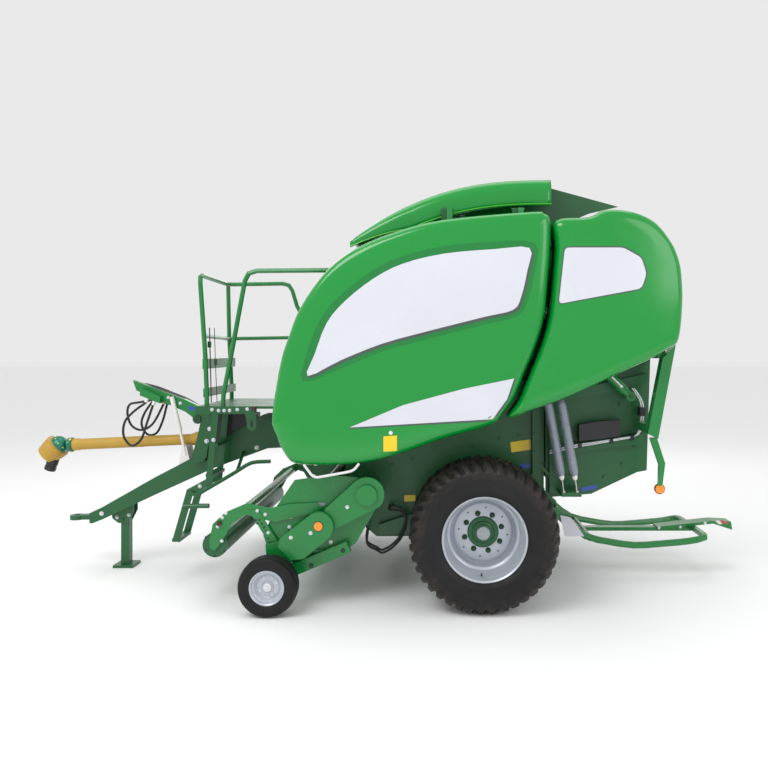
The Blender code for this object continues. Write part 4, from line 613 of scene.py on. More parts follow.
def wheel_rim(name, side):
    """The dished silver rim, green hub, grey cap, wheel nuts and valve."""
    body = f"wheel_{name}"
    centre, out = (WHEEL_X, side * WHEEL_Y, AXLE_Z), (0, side, 0)
    lip = 0.2985
    shell = [(0.105, 0.0), (0.19, 0.0), (0.206, -0.004), (0.216, -0.016), (0.224, -0.02), (0.23, -0.01),
             (0.234, 0.03), (0.237, 0.06), (0.246, 0.07), (0.256, 0.074), (0.259, 0.084), (0.262, 0.15),
             (0.266, 0.19), (0.276, 0.208), (0.28, 0.225), (0.284, 0.244), (lip - 0.004, 0.2535), (lip, 0.25),
             (lip, 0.236), (SEAT - 0.002, 0.234), (SEAT - 0.002, -0.234), (lip, -0.236), (lip, -0.249),
             (lip - 0.008, -0.2545), (0.28, -0.235), (0.262, -0.19), (0.255, -0.11), (0.226, -0.05),
             (0.105, -0.046)]
    put(f"rim_dish_{name}", body, SILVER, [turned(shell, centre, out, 96, closed=True)],
        stands_for=[f"rim_{name}"], smooth=30)
    hub = [(0, -0.05), (0.112, -0.05), (0.112, 0.006), (0.106, 0.014), (0.082, 0.018), (0.078, 0.03),
           (0.062, 0.036), (0.06, 0.046), (0, 0.046)]
    put(f"hub_{name}", body, FRAME, [turned(hub, centre, out, 64)], smooth=30)
    cap = [(0, 0.04), (0.05, 0.04), (0.05, 0.052), (0.046, 0.058), (0.03, 0.0595), (0, 0.0598)]
    put(f"hub_cap_{name}", body, GREY, [turned(cap, centre, out, 48)], smooth=30)
    nuts, seats = [], []
    for index in range(8):
        angle = math.tau * (index + 0.35) / 8
        x, z = WHEEL_X + 0.1375 * math.cos(angle), AXLE_Z + 0.1375 * math.sin(angle)
        nuts += hex_bolt((x, side * (WHEEL_Y + 0.0005), z), out, 0.026, 0.018)
        stud = [(0, 0.015), (0.009, 0.015), (0.009, 0.03), (0.007, 0.032), (0, 0.032)]
        nuts.append(turned(stud, (x, side * WHEEL_Y, z), out, 12))
    put(f"wheel_nuts_{name}", body, DARK, nuts)
    for index in range(8):
        angle = math.tau * (index + 0.85) / 8
        x, z = WHEEL_X + 0.176 * math.cos(angle), AXLE_Z + 0.176 * math.sin(angle)
        seats.append(turned([(0, 0), (0.006, 0), (0.006, 0.0012), (0, 0.0012)], (x, side * WHEEL_Y, z), out,
                            14))
    valve = [(WHEEL_X - 0.02, side * (WHEEL_Y + y), AXLE_Z - z) for y, z in ((0.185, 0.262), (0.205, 0.245),
                                                                             (0.228, 0.235))]
    seats.append(tube(valve, [0.007, 0.006, 0.0045], 10))
    put(f"rim_marks_{name}", body, BLACK, seats)


GAUGE_X, GAUGE_Y, GAUGE_Z = -0.7, 1.24, 0.206


def gauge_wheel(name, side):
    """A ribbed tyre on a small silver rim with its hub nut."""
    body = f"gauge_wheel_{name}"
    centre, out = (GAUGE_X, side * GAUGE_Y, GAUGE_Z), (0, side, 0)
    tread = []
    for index in range(29):
        u = -1 + 2 * index / 28
        groove = 0.0045 if index % 5 == 2 and abs(u) < 0.75 else 0.0
        tread.append((0.2056 - 0.03 * max(0.0, abs(u) - 0.45) ** 1.6 - groove, u * 0.078))
    wall = [(0.186, 0.0815), (0.172, 0.0822), (0.16, 0.0815), (0.157, 0.082), (0.152, 0.08), (0.135, 0.076),
            (0.124, 0.07), (0.118, 0.062)]
    profile = [(r, -u) for r, u in wall[::-1]] + tread + wall
    put(f"gauge_tyre_{name}", body, TYRE, [turned(profile + [(0.112, 0.0)], centre, out, 96, closed=True)],
        stands_for=[f"gauge_wheel_{name}"], smooth=40)
    rim = [(0.0152, 0.03), (0.036, 0.03), (0.044, 0.022), (0.074, 0.018), (0.082, 0.024), (0.09, 0.04),
           (0.096, 0.046), (0.104, 0.048), (0.108, 0.064), (0.116, 0.0715), (0.121, 0.07), (0.12, 0.06),
           (0.11, 0.052), (0.106, -0.052), (0.12, -0.06), (0.121, -0.07), (0.112, -0.07), (0.1, -0.048),
           (0.08, -0.03), (0.03, -0.028), (0.0152, -0.028)]
    put(f"gauge_rim_{name}", body, SILVER, [turned(rim, centre, out, 72, closed=True)], smooth=30)
    hub = [(0.0152, 0.02), (0.03, 0.02), (0.03, 0.052), (0.026, 0.056), (0, 0.0565), (0, 0.044),
           (0.0152, 0.044)]
    marks = [turned(hub, centre, out, 32, closed=True)]
    marks += hex_bolt((centre[0], side * (GAUGE_Y + 0.0545), centre[2]), out, 0.022, 0.0075)
    for index in range(4):
        angle = math.tau * (index + 0.3) / 4
        marks += hex_bolt((centre[0] + 0.062 * math.cos(angle), side * (GAUGE_Y + 0.0185), centre[2]
                           + 0.062 * math.sin(angle)), out, 0.014, 0.008)
    put(f"gauge_hub_{name}", body, ZINC, marks)


for side_name, side_sign in SIDES:
    tyre(side_name, side_sign)
    wheel_rim(side_name, side_sign)
    gauge_wheel(side_name, side_sign)


# ---------------------------------------------------------------- doors, rear panels and roof
TAILGATE_FACE = 0.6253       # the tailgate walls' outer faces, from the middle plane
RECESS_LIFT, SHADOW_LINE_LIFT, PLATE_LIFT, LABEL_LIFT = 0.0008, 0.0016, 0.0028, 0.0035
SEAL_Y = 1.0
CROWN_Y, CROWN_DROP = 1.2148, 0.0053
SHELL_WALL = 0.005
DOOR_OUTLINE = [(-0.685, 1.274), (-0.698, 1.386), (-0.64, 1.743), (-0.584, 1.928), (-0.498, 2.142),
                (-0.326, 2.387), (-0.112, 2.556), (0.173, 2.678), (0.516, 2.764), (1.129, 2.82),
                (1.229, 2.806), (1.272, 2.757), (1.272, 2.571), (1.258, 2.373), (1.229, 2.086),
                (1.173, 1.885), (1.087, 1.673), (1.015, 1.5), (0.93, 1.386), (0.844, 1.309), (0.516, 1.214),
                (0.273, 1.129), (0.03, 1.058), (-0.198, 1.03), (-0.462, 1.03), (-0.584, 1.072)]
REAR_OUTLINE = [(1.304, 2.756), (1.539, 2.782), (1.641, 2.83), (1.77, 2.834), (1.91, 2.799), (2.026, 2.729),
                (2.127, 2.599), (2.176, 2.485), (2.197, 2.373), (2.204, 2.17), (2.176, 1.914), (2.097, 1.842),
                (1.91, 1.743), (1.755, 1.673), (1.412, 1.514), (1.182, 1.428), (0.975, 1.362), (1.05, 1.49),
                (1.122, 1.665), (1.207, 1.878), (1.263, 2.083), (1.292, 2.372), (1.306, 2.57)]
PANEL_LEVELS = [(0.0, 0.985), (0.0, 1.1), (0.001, 1.138), (0.006, 1.16), (0.014, 1.18), (0.026, 1.195),
                (0.042, 1.204), (0.062, 1.209)]


def inset(outline, distance):
    """An outline moved inwards, or outwards where the distance is below nought."""
    count = len(outline)
    area = sum(outline[i][0] * outline[(i + 1) % count][1] - outline[(i + 1) % count][0] * outline[i][1]
               for i in range(count))
    turn = 1 if area > 0 else -1
    moved = []
    for index in range(count):
        here = Vector(outline[index])
        into = (here - Vector(outline[index - 1])).normalized()
        out = (Vector(outline[(index + 1) % count]) - here).normalized()
        normal = (Vector((-into.y, into.x)) * turn + Vector((-out.y, out.x)) * turn).normalized()
        moved.append(tuple(here + normal * distance))
    return moved


def untangled(outline, loop, distance):
    """An inset loop whose points that came too near the outline are slid onto the line of the good ones."""
    count = len(outline)
    spots = [Vector(spot) for spot in loop]

    def clearance(spot):
        nearest = 9.0
        for index in range(count):
            start, end = Vector(outline[index]), Vector(outline[(index + 1) % count])
            along = end - start
            share = min(1.0, max(0.0, (spot - start).dot(along) / along.length_squared))
            nearest = min(nearest, (spot - start - along * share).length)
        return nearest

    good = [clearance(spot) > distance - 0.0008 for spot in spots]
    if all(good):
        return loop
    moved = []
    for index in range(count):
        if good[index]:
            moved.append(tuple(spots[index]))
            continue
        back = next(step for step in range(1, count) if good[(index - step) % count])
        ahead = next(step for step in range(1, count) if good[(index + step) % count])
        share = back / (back + ahead)
        moved.append(tuple(spots[(index - back) % count].lerp(spots[(index + ahead) % count], share)))
    return moved


def crowned_panel(outline, side, centre):
    """The shell of a moulded panel: a rounded edge, then a shallow crown up to its middle."""
    mesh = bmesh.new()
    loops = []
    for distance, depth in PANEL_LEVELS:
        last = untangled(outline, inset(outline, distance), distance)
        loops.append([mesh.verts.new((x, side * depth, z)) for x, z in last])
    for share in (0.9, 0.78, 0.64, 0.5, 0.36, 0.22, 0.1):
        depth = CROWN_Y - CROWN_DROP * share ** 2
        loops.append([mesh.verts.new((centre[0] + (x - centre[0]) * share, side * depth, centre[1]
                                      + (z - centre[1]) * share)) for x, z in last])
    for one, two in zip(loops, loops[1:]):
        for index in range(len(outline)):
            nxt = (index + 1) % len(outline)
            mesh.faces.new((one[index], one[nxt], two[nxt], two[index]))
    middle = mesh.verts.new((centre[0], side * CROWN_Y, centre[1]))
    for index in range(len(outline)):
        mesh.faces.new((loops[-1][index], loops[-1][(index + 1) % len(outline)], middle))
    bmesh.ops.recalc_face_normals(mesh, faces=mesh.faces)
    face = min(mesh.faces, key=lambda f: (f.calc_center_median() - middle.co).length)
    if face.normal.y * side < 0:
        bmesh.ops.reverse_faces(mesh, faces=mesh.faces)
    return mesh


def shell_piece(name, body, finish, mesh, thickness, stands_for):
    """A skin thickened inwards."""
    made = put(name, body, finish, [mesh], stands_for=stands_for, smooth=60)
    wall = made.modifiers.new("Wall", "SOLIDIFY")
    wall.thickness = thickness
    wall.offset = -1
    return made


def laid_on(outline, side, skin, lift):
    """A thin film cut to an outline and laid on a skin, following its curve."""
    mesh = bmesh.new()
    mesh.faces.new([mesh.verts.new((x, 0, z)) for x, z in outline])
    bmesh.ops.triangulate(mesh, faces=mesh.faces)
    for _ in range(4):
        long = [edge for edge in mesh.edges if edge.calc_length() > 0.05]
        if long:
            bmesh.ops.subdivide_edges(mesh, edges=long, cuts=1)
            bmesh.ops.triangulate(mesh, faces=mesh.faces)
    for vert in mesh.verts:
        hit = skin.ray_cast(Vector((vert.co.x, side * 2, vert.co.z)), Vector((0, -side, 0)))[0]
        vert.co.y = (hit.y if hit else side * 1.2) + side * lift
    for face in mesh.faces:
        if face.normal.y * side < 0:
            face.normal_flip()
    return mesh


def rounded_rect(x1, z1, x2, z2, lean=0.0, radius=0.01):
    """A label's outline, with its right edge raised by lean."""
    return rounded_outline([(x1, z1), (x2, z1 + lean), (x2, z2 + lean), (x1, z2)], radius, 3)


DOOR_PLATE = [(-0.433, 1.659), (-0.384, 1.813), (-0.3, 2.03), (-0.17, 2.185), (0.03, 2.342), (0.231, 2.443),
              (0.516, 2.513), (0.873, 2.545), (1.115, 2.553), (1.101, 2.401), (1.057, 2.214), (1.001, 2.121),
              (0.801, 2.072), (0.401, 1.971), (0.087, 1.885), (-0.198, 1.771)]
DOOR_CORNER = [(-0.141, 1.3), (0.231, 1.456), (0.658, 1.571), (1.008, 1.642), (0.96, 1.5), (0.859, 1.358)]
REAR_PLATE = [(1.362, 2.556), (1.77, 2.556), (1.896, 2.485), (1.931, 2.373), (1.896, 2.27), (1.32, 2.163)]


def side_door(name, side):
    body = f"door_{name}"
    outline = smooth_loop(DOOR_OUTLINE, 5)
    shell = crowned_panel(outline, side, (0.3, 1.93))
    skin = BVHTree.FromBMesh(shell)
    shell_piece(f"door_shell_{name}", body, PANEL, shell, SHELL_WALL, [f"side_door_{name}"])
    arms = []
    for x in (0.5, 1.02):
        arm = [(side * 0.933, 2.882), (side * 0.959, 2.882), (side * 1.015, 2.72 + 0.1 * (x - 0.28)),
               (side * 1.015, 2.6 + 0.12 * (x - 0.28)), (side * 0.941, 2.852)]
        arms.append(prism(arm, x + 0.0403, x + 0.08, "x"))
        arms.append(turned([(0, 0), (0.01, 0), (0.01, 0.095), (0, 0.095)], (x - 0.006, side * 0.945, 2.872),
                           (1, 0, 0), 16))
    put(f"door_arms_{name}", body, BRIGHT, arms, bevel=0.002)
    # Painted shade: a darker film round the plate stands for the shade of its recess.
    put(f"door_recess_shade_{name}", body, RECESS_SHADE, [laid_on(smooth_loop(inset(DOOR_PLATE, -0.052), 3), side, skin,
                                                      RECESS_LIFT)], smooth=60)
    # Painted shadow: dark films under the plates, moved down and to the right, stand for the shadow the
    # plates cast.
    shadow_lines = [laid_on(smooth_loop([(x + 0.007, z - 0.01) for x, z in inset(DOOR_PLATE, -0.009)], 3), side,
                      skin, SHADOW_LINE_LIFT),
              laid_on([(x + 0.004, z - 0.008) for x, z in inset(DOOR_CORNER, -0.007)], side, skin,
                      SHADOW_LINE_LIFT)]
    put(f"door_plate_shadow_line_{name}", body, PLATE_SHADOW_LINE, shadow_lines, smooth=60)
    plates = [laid_on(smooth_loop(DOOR_PLATE, 3), side, skin, PLATE_LIFT),
              laid_on(DOOR_CORNER, side, skin, PLATE_LIFT)]
    put(f"door_plate_{name}", body, PLATE, plates, smooth=60)
    put(f"door_label_{name}", body, YELLOW, [laid_on(rounded_rect(0.095, 1.13, 0.19, 1.239, 0.006, 0.006),
                                                     side, skin, LABEL_LIFT)])
    edge = smooth_loop(inset(DOOR_OUTLINE, 0.004), 5)
    seal = tube([(x, side * SEAL_Y, z) for x, z in edge], 0.006, 8, closed=True)
    put(f"door_seal_{name}", body, BLACK, [seal])
    handle = rounded([(-0.466, side * 1.1815, 1.0364), (-0.406, side * 1.196, 0.962),
                      (-0.374, side * 1.197, 0.948), (-0.138, side * 1.197, 0.99),
                      (-0.107, side * 1.196, 1.006), (-0.078, side * 1.1815, 1.043)], 0.04)
    put(f"handle_tube_{name}", body, PEARL, [tube(handle, 0.0095, 14)], stands_for=[f"door_handle_{name}"])


def rear_panel(name, side):
    outline = smooth_loop(REAR_OUTLINE, 5)
    shell = crowned_panel(outline, side, (1.66, 2.14))
    skin = BVHTree.FromBMesh(shell)
    shell_piece(f"rear_shell_{name}", "tailgate", PANEL, shell, SHELL_WALL, [f"rear_panel_{name}"])
    brackets = [block((x - 0.02, x + 0.02), span(side, TAILGATE_FACE, 1.208), (z - 0.03, z + 0.03))
                for x, z in ((1.55, 2.3), (2.02, 2.1), (1.45, 1.64))]
    put(f"rear_brackets_{name}", "tailgate", FRAME, brackets, bevel=0.002)
    # Painted shadow: a dark film round the rear plate stands for its shadow line.
    put(f"rear_plate_shadow_line_{name}", "tailgate", PLATE_SHADOW_LINE,
        [laid_on(rounded_outline(inset(REAR_PLATE, -0.011), 0.04), side, skin, SHADOW_LINE_LIFT)], smooth=60)
    put(f"rear_plate_{name}", "tailgate", PLATE, [laid_on(rounded_outline(REAR_PLATE, 0.03), side, skin,
                                                          PLATE_LIFT)], smooth=60)
    edge = smooth_loop(inset(REAR_OUTLINE, 0.004), 5)
    put(f"rear_seal_{name}", "tailgate", BLACK, [tube([(x, side * SEAL_Y, z) for x, z in edge], 0.006, 8,
                                                      closed=True)])


ROOF_X = (-0.176, 1.315)
ROOF_NOSE_Z, ROOF_RIDGE_Z = 2.66, 3.126


def roof_top(x):
    """The roof's height, rising from its nose to its ridge."""
    share = (x - ROOF_X[0]) / (ROOF_X[1] - ROOF_X[0])
    return ROOF_NOSE_Z + (ROOF_RIDGE_Z - ROOF_NOSE_Z) * (1 - (1 - share) ** 2.6)


def roof_depth(x):
    """The share of its full depth that the roof's rolled edge has, less towards the nose."""
    return 0.28 + 0.72 * min(1, (x - ROOF_X[0]) / 0.45)


def roof():
    """The curved roof: a sheet with rolled edges and a raised rim along each side, coloured lime as a painted
    highlight.
    """
    half = 0.9
    across = [(half, -0.215), (half, -0.17), (half, -0.12), (half - 0.003, -0.085), (half - 0.012, -0.055),
              (half - 0.03, -0.032), (half - 0.06, -0.016), (half - 0.1, -0.007), (half - 0.16, -0.002),
              (half - 0.24, 0.0), (0.4, 0.0), (0.2, 0.0)]
    line = [(-y, drop) for y, drop in across] + [(0.0, 0.0)] + [(y, drop) for y, drop in reversed(across)]
    stations = [ROOF_X[0] + 0.002 + (ROOF_X[1] - ROOF_X[0] - 0.004) * step / 48 for step in range(49)]
    mesh = bmesh.new()
    rows = []
    for x in stations:
        rows.append([mesh.verts.new((x, y, roof_top(x) - 0.001 + drop * roof_depth(x))) for y, drop in line])
    for one, two in zip(rows, rows[1:]):
        for index in range(len(line) - 1):
            mesh.faces.new((one[index], two[index], two[index + 1], one[index + 1]))
    bmesh.ops.recalc_face_normals(mesh, faces=mesh.faces)
    top = max(mesh.faces, key=lambda face: face.calc_center_median().z)
    if top.normal.z < 0:
        bmesh.ops.reverse_faces(mesh, faces=mesh.faces)
    shell_piece("roof_shell", body_of("roof_cover"), PANEL, mesh, 0.01, ["roof_cover"])
    rims, slots = [], []
    for side in (LEFT, RIGHT):
        low = [Vector((x, side * (half - 0.003), roof_top(x) - 0.205 * roof_depth(x))) for x in stations]
        rims.append(tube(low, 0.006, 8))
        for index in range(8):
            x = 0.2 + 0.062 * index
            z = roof_top(x) - 0.232
            slots.append(block((x, x + 0.038), span(side, half - 0.05, half - 0.006), (z - 0.008, z + 0.008)))
    # Painted highlight: the roof's rims are lime for the light caught along its lower edge.
    put("roof_rim_highlights", body_of("roof_cover"), LIME_HIGHLIGHT, rims)
    # Painted shade: black blocks along the seam under the roof's edge stand for the dark of the gap there.
    put("roof_gap_shade", body_of("roof_cover"), BLACK, slots, bevel=0.002)


for side_name, side_sign in SIDES:
    side_door(side_name, side_sign)
    rear_panel(side_name, side_sign)
roof()


# ---------------------------------------------------------------- springs, belts and cylinders
SPRING_TURNS = 56


def spring_pair(name, side):
    """Two close-wound tension springs with hooked rods and white end clips."""
    y = side * 0.862
    coils, clips, rods = [], [], []
    for shift in (0.0, 0.098):
        top = Vector((1.291 + shift, y, 1.468))
        low = Vector((1.392 + shift, y, 0.905))
        anchor = Vector((1.41 + shift, y, 0.77))
        ahead = (low - top).normalized()
        side_way = Vector((0, 1, 0))
        other = ahead.cross(side_way)
        length = (low - top).length
        steps = SPRING_TURNS * 14
        line = []
        for index in range(steps + 1):
            share = index / steps
            angle = math.tau * SPRING_TURNS * share
            squeeze = min(1.0, 0.62 + 6 * min(share, 1 - share))
            line.append(top + ahead * length * share + (side_way * math.cos(angle)
                                                        + other * math.sin(angle)) * 0.0312 * squeeze)
        coils.append(tube(line, 0.0044, 6))
        clips.append(turned([(0, -0.004), (0.021, -0.004), (0.021, 0.01), (0.013, 0.03), (0, 0.03)], low,
                            ahead, 20))
        rods.append(tube([low - ahead * 0.01, anchor], 0.008, 10))
        rods += hex_bolt(anchor + Vector((0, 0, 0.013)), (0, 0, 1), 0.026, 0.014)
    shackle = block((1.3903, 1.54), span(side, TAILGATE_FACE, 0.88), (0.752, 0.784))
    put(f"springs_{name}", "tailgate", SPRING, coils, stands_for=[f"belt_springs_{name}"])
    put(f"spring_clips_{name}", "tailgate", WHITE, clips)
    put(f"spring_rods_{name}", "tailgate", STEEL, rods)
    put(f"spring_bracket_{name}", "tailgate", FRAME, [shackle], bevel=0.002)


BELT_WIDTH, BELT_GAP = 0.285, 0.0165


def belt_run(name, body, path, thickness, rollers, stands_for):
    """Four belts side by side over their rollers."""
    line = rounded([(x, 0, z) for x, z in path], 0.09, 4)
    offset = []
    for index, point in enumerate(line):
        along = (line[min(index + 1, len(line) - 1)] - line[max(index - 1, 0)]).normalized()
        offset.append(point + Vector((-along.z, 0, along.x)) * thickness)
    outline = [(point.x, point.z) for point in line + offset[::-1]]
    lows = [-2 * BELT_WIDTH - 1.5 * BELT_GAP + index * (BELT_WIDTH + BELT_GAP) for index in range(4)]
    put(name, body, BELT, [prism(outline, low, low + BELT_WIDTH) for low in lows], stands_for=stands_for,
        smooth=30)
    drums = []
    for x, z, radius in rollers:
        neck = radius * 0.55
        profile = [(0, 0), (neck, 0), (neck, 0.006), (radius, 0.01), (radius, 1.218), (neck, 1.222),
                   (neck, 1.228), (0, 1.228)]
        drums.append(turned(profile, (x, -0.614, z), (0, 1, 0), 40))
    put(f"{name}_rollers", body, DARK, drums)


def lift_cylinder(name, side):
    """A lift cylinder: painted barrel with gland, ports and pipe, and a bright rod."""
    low, top = Vector((1.93, side * 0.765, 1.49)), Vector((0.95, side * 0.765, 2.45))
    ahead = (top - low).normalized()
    length = (top - low).length
    barrel = [(0.0195, 0.075), (0.036, 0.075), (0.0375, 0.085), (0.0375, 0.88), (0.038, 0.885), (0.038, 0.97),
              (0.034, 0.98), (0.0195, 0.98)]
    eye = [(0.017, -0.022), (0.034, -0.022), (0.036, -0.02), (0.036, 0.02), (0.034, 0.022), (0.017, 0.022)]
    shapes = [turned(barrel, low, ahead, 36, closed=True), turned(eye, low, (0, 1, 0), 32, closed=True),
              turned([(0, 0.031), (0.03, 0.031), (0.036, 0.076), (0, 0.076)], low, ahead, 32)]
    put(f"lift_barrel_{name}", f"cylinder_barrel_{name}", BRIGHT, shapes,
        stands_for=[f"cylinder_barrel_{name}"])
    across = Vector((0, side, 0))
    ports = []
    for along in (0.11, 0.93):
        spot = low + ahead * along + across * 0.034
        ports.append(turned([(0, 0), (0.012, 0), (0.012, 0.012), (0.009, 0.018), (0, 0.018)], spot, across,
                            12))
    pipe = [low + ahead * 0.115 + across * 0.048, low + ahead * 0.16 + across * 0.05, low + ahead * 0.88
            + across * 0.05, low + ahead * 0.925 + across * 0.048]
    ports.append(tube(pipe, 0.005, 8))
    put(f"lift_ports_{name}", f"cylinder_barrel_{name}", ZINC, ports)
    rod = [(0, 0.5), (0.018, 0.5), (0.018, length - 0.06), (0.022, length - 0.055), (0.022, length - 0.03),
           (0, length - 0.03)]
    eye = [(0.0162, -0.022), (0.032, -0.022), (0.034, -0.02), (0.034, 0.02), (0.032, 0.022), (0.0162, 0.022)]
    put(f"lift_rod_{name}", f"cylinder_rod_{name}", CHROME, [turned(rod, low, ahead, 36),
                                                             turned(eye, top, (0, 1, 0), 32, closed=True)],
        stands_for=[f"cylinder_rod_{name}"])


for side_name, side_sign in SIDES:
    spring_pair(side_name, side_sign)
    lift_cylinder(side_name, side_sign)
belt_run("tailgate_belting", "tailgate", [(1.36, 0.8), (1.66, 0.815), (1.93, 0.96), (2.03, 1.3),
                                          (2.055, 1.85), (2.05, 2.3), (1.96, 2.56), (1.76, 2.69),
                                          (1.42, 2.7)], 0.014, ((1.37, 0.858, 0.052), (1.895, 1.03, 0.056),
                                                                (1.975, 2.46, 0.066), (1.44, 2.642, 0.054)),
         ["tailgate_belts"])
belt_run("front_belting", body_of("front_belts"), [(-0.385, 1.06), (-0.455, 1.25), (-0.462, 1.45),
                                                   (-0.445, 1.69)], -0.014,
         ((-0.33, 1.085, 0.058), (-0.388, 1.655, 0.05)), ["front_belts"])


# ---------------------------------------------------------------- drive shaft
PTO_REAR, PTO_FRONT = Vector((-1.48, 0, 1.086)), Vector((-2.77, 0, 1.027))


def drive_shaft():
    """The guard tube with its funnel, collars and the metal collar at the front joint."""
    ahead = (PTO_FRONT - PTO_REAR).normalized()
    length = (PTO_FRONT - PTO_REAR).length
    funnel = [(0.04, 0.02), (0.07, 0.02), (0.07, 0.034), (0.067, 0.04), (0.068, 0.06), (0.064, 0.066),
              (0.0655, 0.086), (0.061, 0.092), (0.0625, 0.112), (0.056, 0.12), (0.05, 0.146), (0.04, 0.146)]
    tube_profile = [(0, 0.13), (0.0452, 0.13), (0.0452, 0.56), (0.047, 0.565), (0.047, 0.69), (0.0466, 0.7),
                    (0.0466, 1.1), (0.05, 1.105), (0.052, 1.15), (0.05, 1.165), (0, 1.165)]
    put("pto_guard", "pto_shaft", OCHRE, [turned(funnel, PTO_REAR, ahead, 48, closed=True),
                                          turned(tube_profile, PTO_REAR, ahead, 48)],
        stands_for=["pto_shaft"], smooth=40)
    collar = [(0.03, length - 0.129), (0.056, length - 0.129), (0.0615, length - 0.124),
              (0.0615, length - 0.108), (0.058, length - 0.104), (0.06, length - 0.09),
              (0.034, length - 0.087), (0.03, length - 0.081)]
    put("pto_collar", "pto_shaft", TEAL, [turned(collar, PTO_REAR, ahead, 48, closed=True)])
    tabs = []
    up = Vector((-ahead.z, 0, ahead.x))
    for angle in (20, 140, 250):
        turn = Matrix.Rotation(math.radians(angle), 3, ahead)
        spot = PTO_REAR + ahead * (length - 0.118) + turn @ up * 0.059
        tabs.append(turned([(0, 0), (0.011, 0), (0.011, 0.005), (0.008, 0.007), (0, 0.007)], spot, turn @ up,
                           10))
    put("pto_tabs", "pto_shaft", YELLOW, tabs)
    put("pto_core", "pto_shaft", STEEL, [turned([(0, 0.021), (0.026, 0.021), (0.026, 0.08), (0, 0.08)],
                                                PTO_REAR, ahead, 24)])


def drive_yoke():
    """The ribbed rubber boot of the front joint, its metal collar and the coupling hub."""
    down = Vector((-0.776, 0, -0.63)).normalized()
    boot = [(0.074, -0.006), (0.083, -0.004), (0.104, 0.001), (0.105, 0.01), (0.0985, 0.016), (0.104, 0.024),
            (0.1035, 0.034), (0.097, 0.04), (0.102, 0.048), (0.101, 0.058), (0.095, 0.064), (0.0985, 0.072),
            (0.096, 0.084), (0.09, 0.09), (0.0925, 0.1), (0.089, 0.118), (0.085, 0.134), (0, 0.134)]
    put("pto_boot", "pto_yoke", OCHRE, [turned(boot, PTO_FRONT, down, 64)], stands_for=["pto_yoke"],
        smooth=45)
    dome = [(0, -0.0795), (0.026, -0.0752), (0.036, -0.07), (0.049, -0.0625), (0.056, -0.055),
            (0.062, -0.048), (0.069, -0.0395), (0.074, -0.025), (0.0795, -0.0045), (0.06, -0.002),
            (0, -0.002)]
    put("pto_bell", "pto_yoke", TEAL, [turned(dome, PTO_FRONT, down, 64)], smooth=30)
    studs = []
    for index in range(8):
        angle = math.tau * index / 8
        frame_up = down.cross(Vector((0, 1, 0)))
        radial = Vector((0, 1, 0)) * math.cos(angle) + frame_up * math.sin(angle)
        spot = PTO_FRONT - down * 0.036 + radial * 0.066
        studs.append(turned([(0, 0), (0.007, 0), (0.006, 0.005), (0, 0.006)], spot, radial, 10))
    put("pto_studs", "pto_yoke", YELLOW, studs)
    way = Vector((-0.34, 0, -0.94)).normalized()
    hub = [(0, 0.1), (0.046, 0.1), (0.047, 0.15), (0.047, 0.172), (0.0425, 0.176), (0.0425, 0.186),
           (0.047, 0.19), (0.047, 0.22), (0.044, 0.2248), (0.024, 0.2248), (0.024, 0.19), (0, 0.19)]
    put("pto_hub", "pto_yoke", BLACK, [turned(hub, PTO_FRONT, way, 40)], smooth=35)


drive_shaft()
drive_yoke()


# ---------------------------------------------------------------- pickup reel and bands
REEL = (-0.55, 0.43)
BANDS_HALF, BAND_WIDTH, BAND_GAPS = 0.9997, 0.06, 16
BAR_REACH = 0.086            # the tine bars' distance from the reel's shaft


def pickup_tines():
    """The reel: shaft, spiders, four bars, and a sprung double-coil tine in every gap of the bands."""
    pitch = (2 * BANDS_HALF - BAND_WIDTH) / BAND_GAPS
    gaps = [-BANDS_HALF + BAND_WIDTH + index * pitch + (pitch - BAND_WIDTH) / 2 for index in range(BAND_GAPS)]
    centre = Vector((REEL[0], 0, REEL[1]))
    tines, caps = [], []
    bars = [turned([(0, 0), (0.044, 0), (0.044, 1.998), (0, 1.998)], centre - Vector((0, 0.999, 0)),
                   (0, 1, 0), 28)]
    for y in (-0.93, 0.0, 0.93):
        plate = [(0, 0), (0.11, 0), (0.11, 0.01), (0, 0.01)]
        bars.append(turned(plate, centre + Vector((0, y - 0.005, 0)), (0, 1, 0), 36))
    for turn in range(4):
        spin = Matrix.Rotation(math.radians(90 * turn + 20), 3, "Y")
        bars.append(tube([centre + spin @ Vector((0, -0.955, BAR_REACH)), centre
                          + spin @ Vector((0, 0.955, BAR_REACH))], 0.015, 14))
        for y in gaps:
            coil = []
            for step in range(25):
                angle = math.tau * 2 * step / 24
                coil.append(centre + spin @ Vector((0.0195 * math.sin(angle), y - 0.014 + 0.028 * step / 24,
                                                    BAR_REACH + 0.0195 * math.cos(angle))))
            tines.append(tube(coil, 0.003, 6))
            finger = [Vector((0.0195, y, BAR_REACH)), Vector((0.018, y, 0.12)), Vector((0.01, y, 0.17)),
                      Vector((0.0, y, 0.215)), Vector((-0.006, y, 0.2635))]
            tines.append(tube([centre + spin @ p for p in smooth_line(finger, 3)], 0.0032, 8))
            clamp = block((-0.01, 0.01), (y - 0.009, y + 0.009), (0.098, 0.108))
            bmesh.ops.rotate(clamp, verts=clamp.verts, cent=(0, 0, 0), matrix=spin)
            bmesh.ops.translate(clamp, verts=clamp.verts, vec=centre)
            caps.append(clamp)
    put("reel_bars", "pickup_reel", DARK, bars, stands_for=["pickup_reel"])
    put("reel_tines", "pickup_reel", ZINC, tines)
    put("reel_clamps", "pickup_reel", STEEL, caps)


pickup_tines()


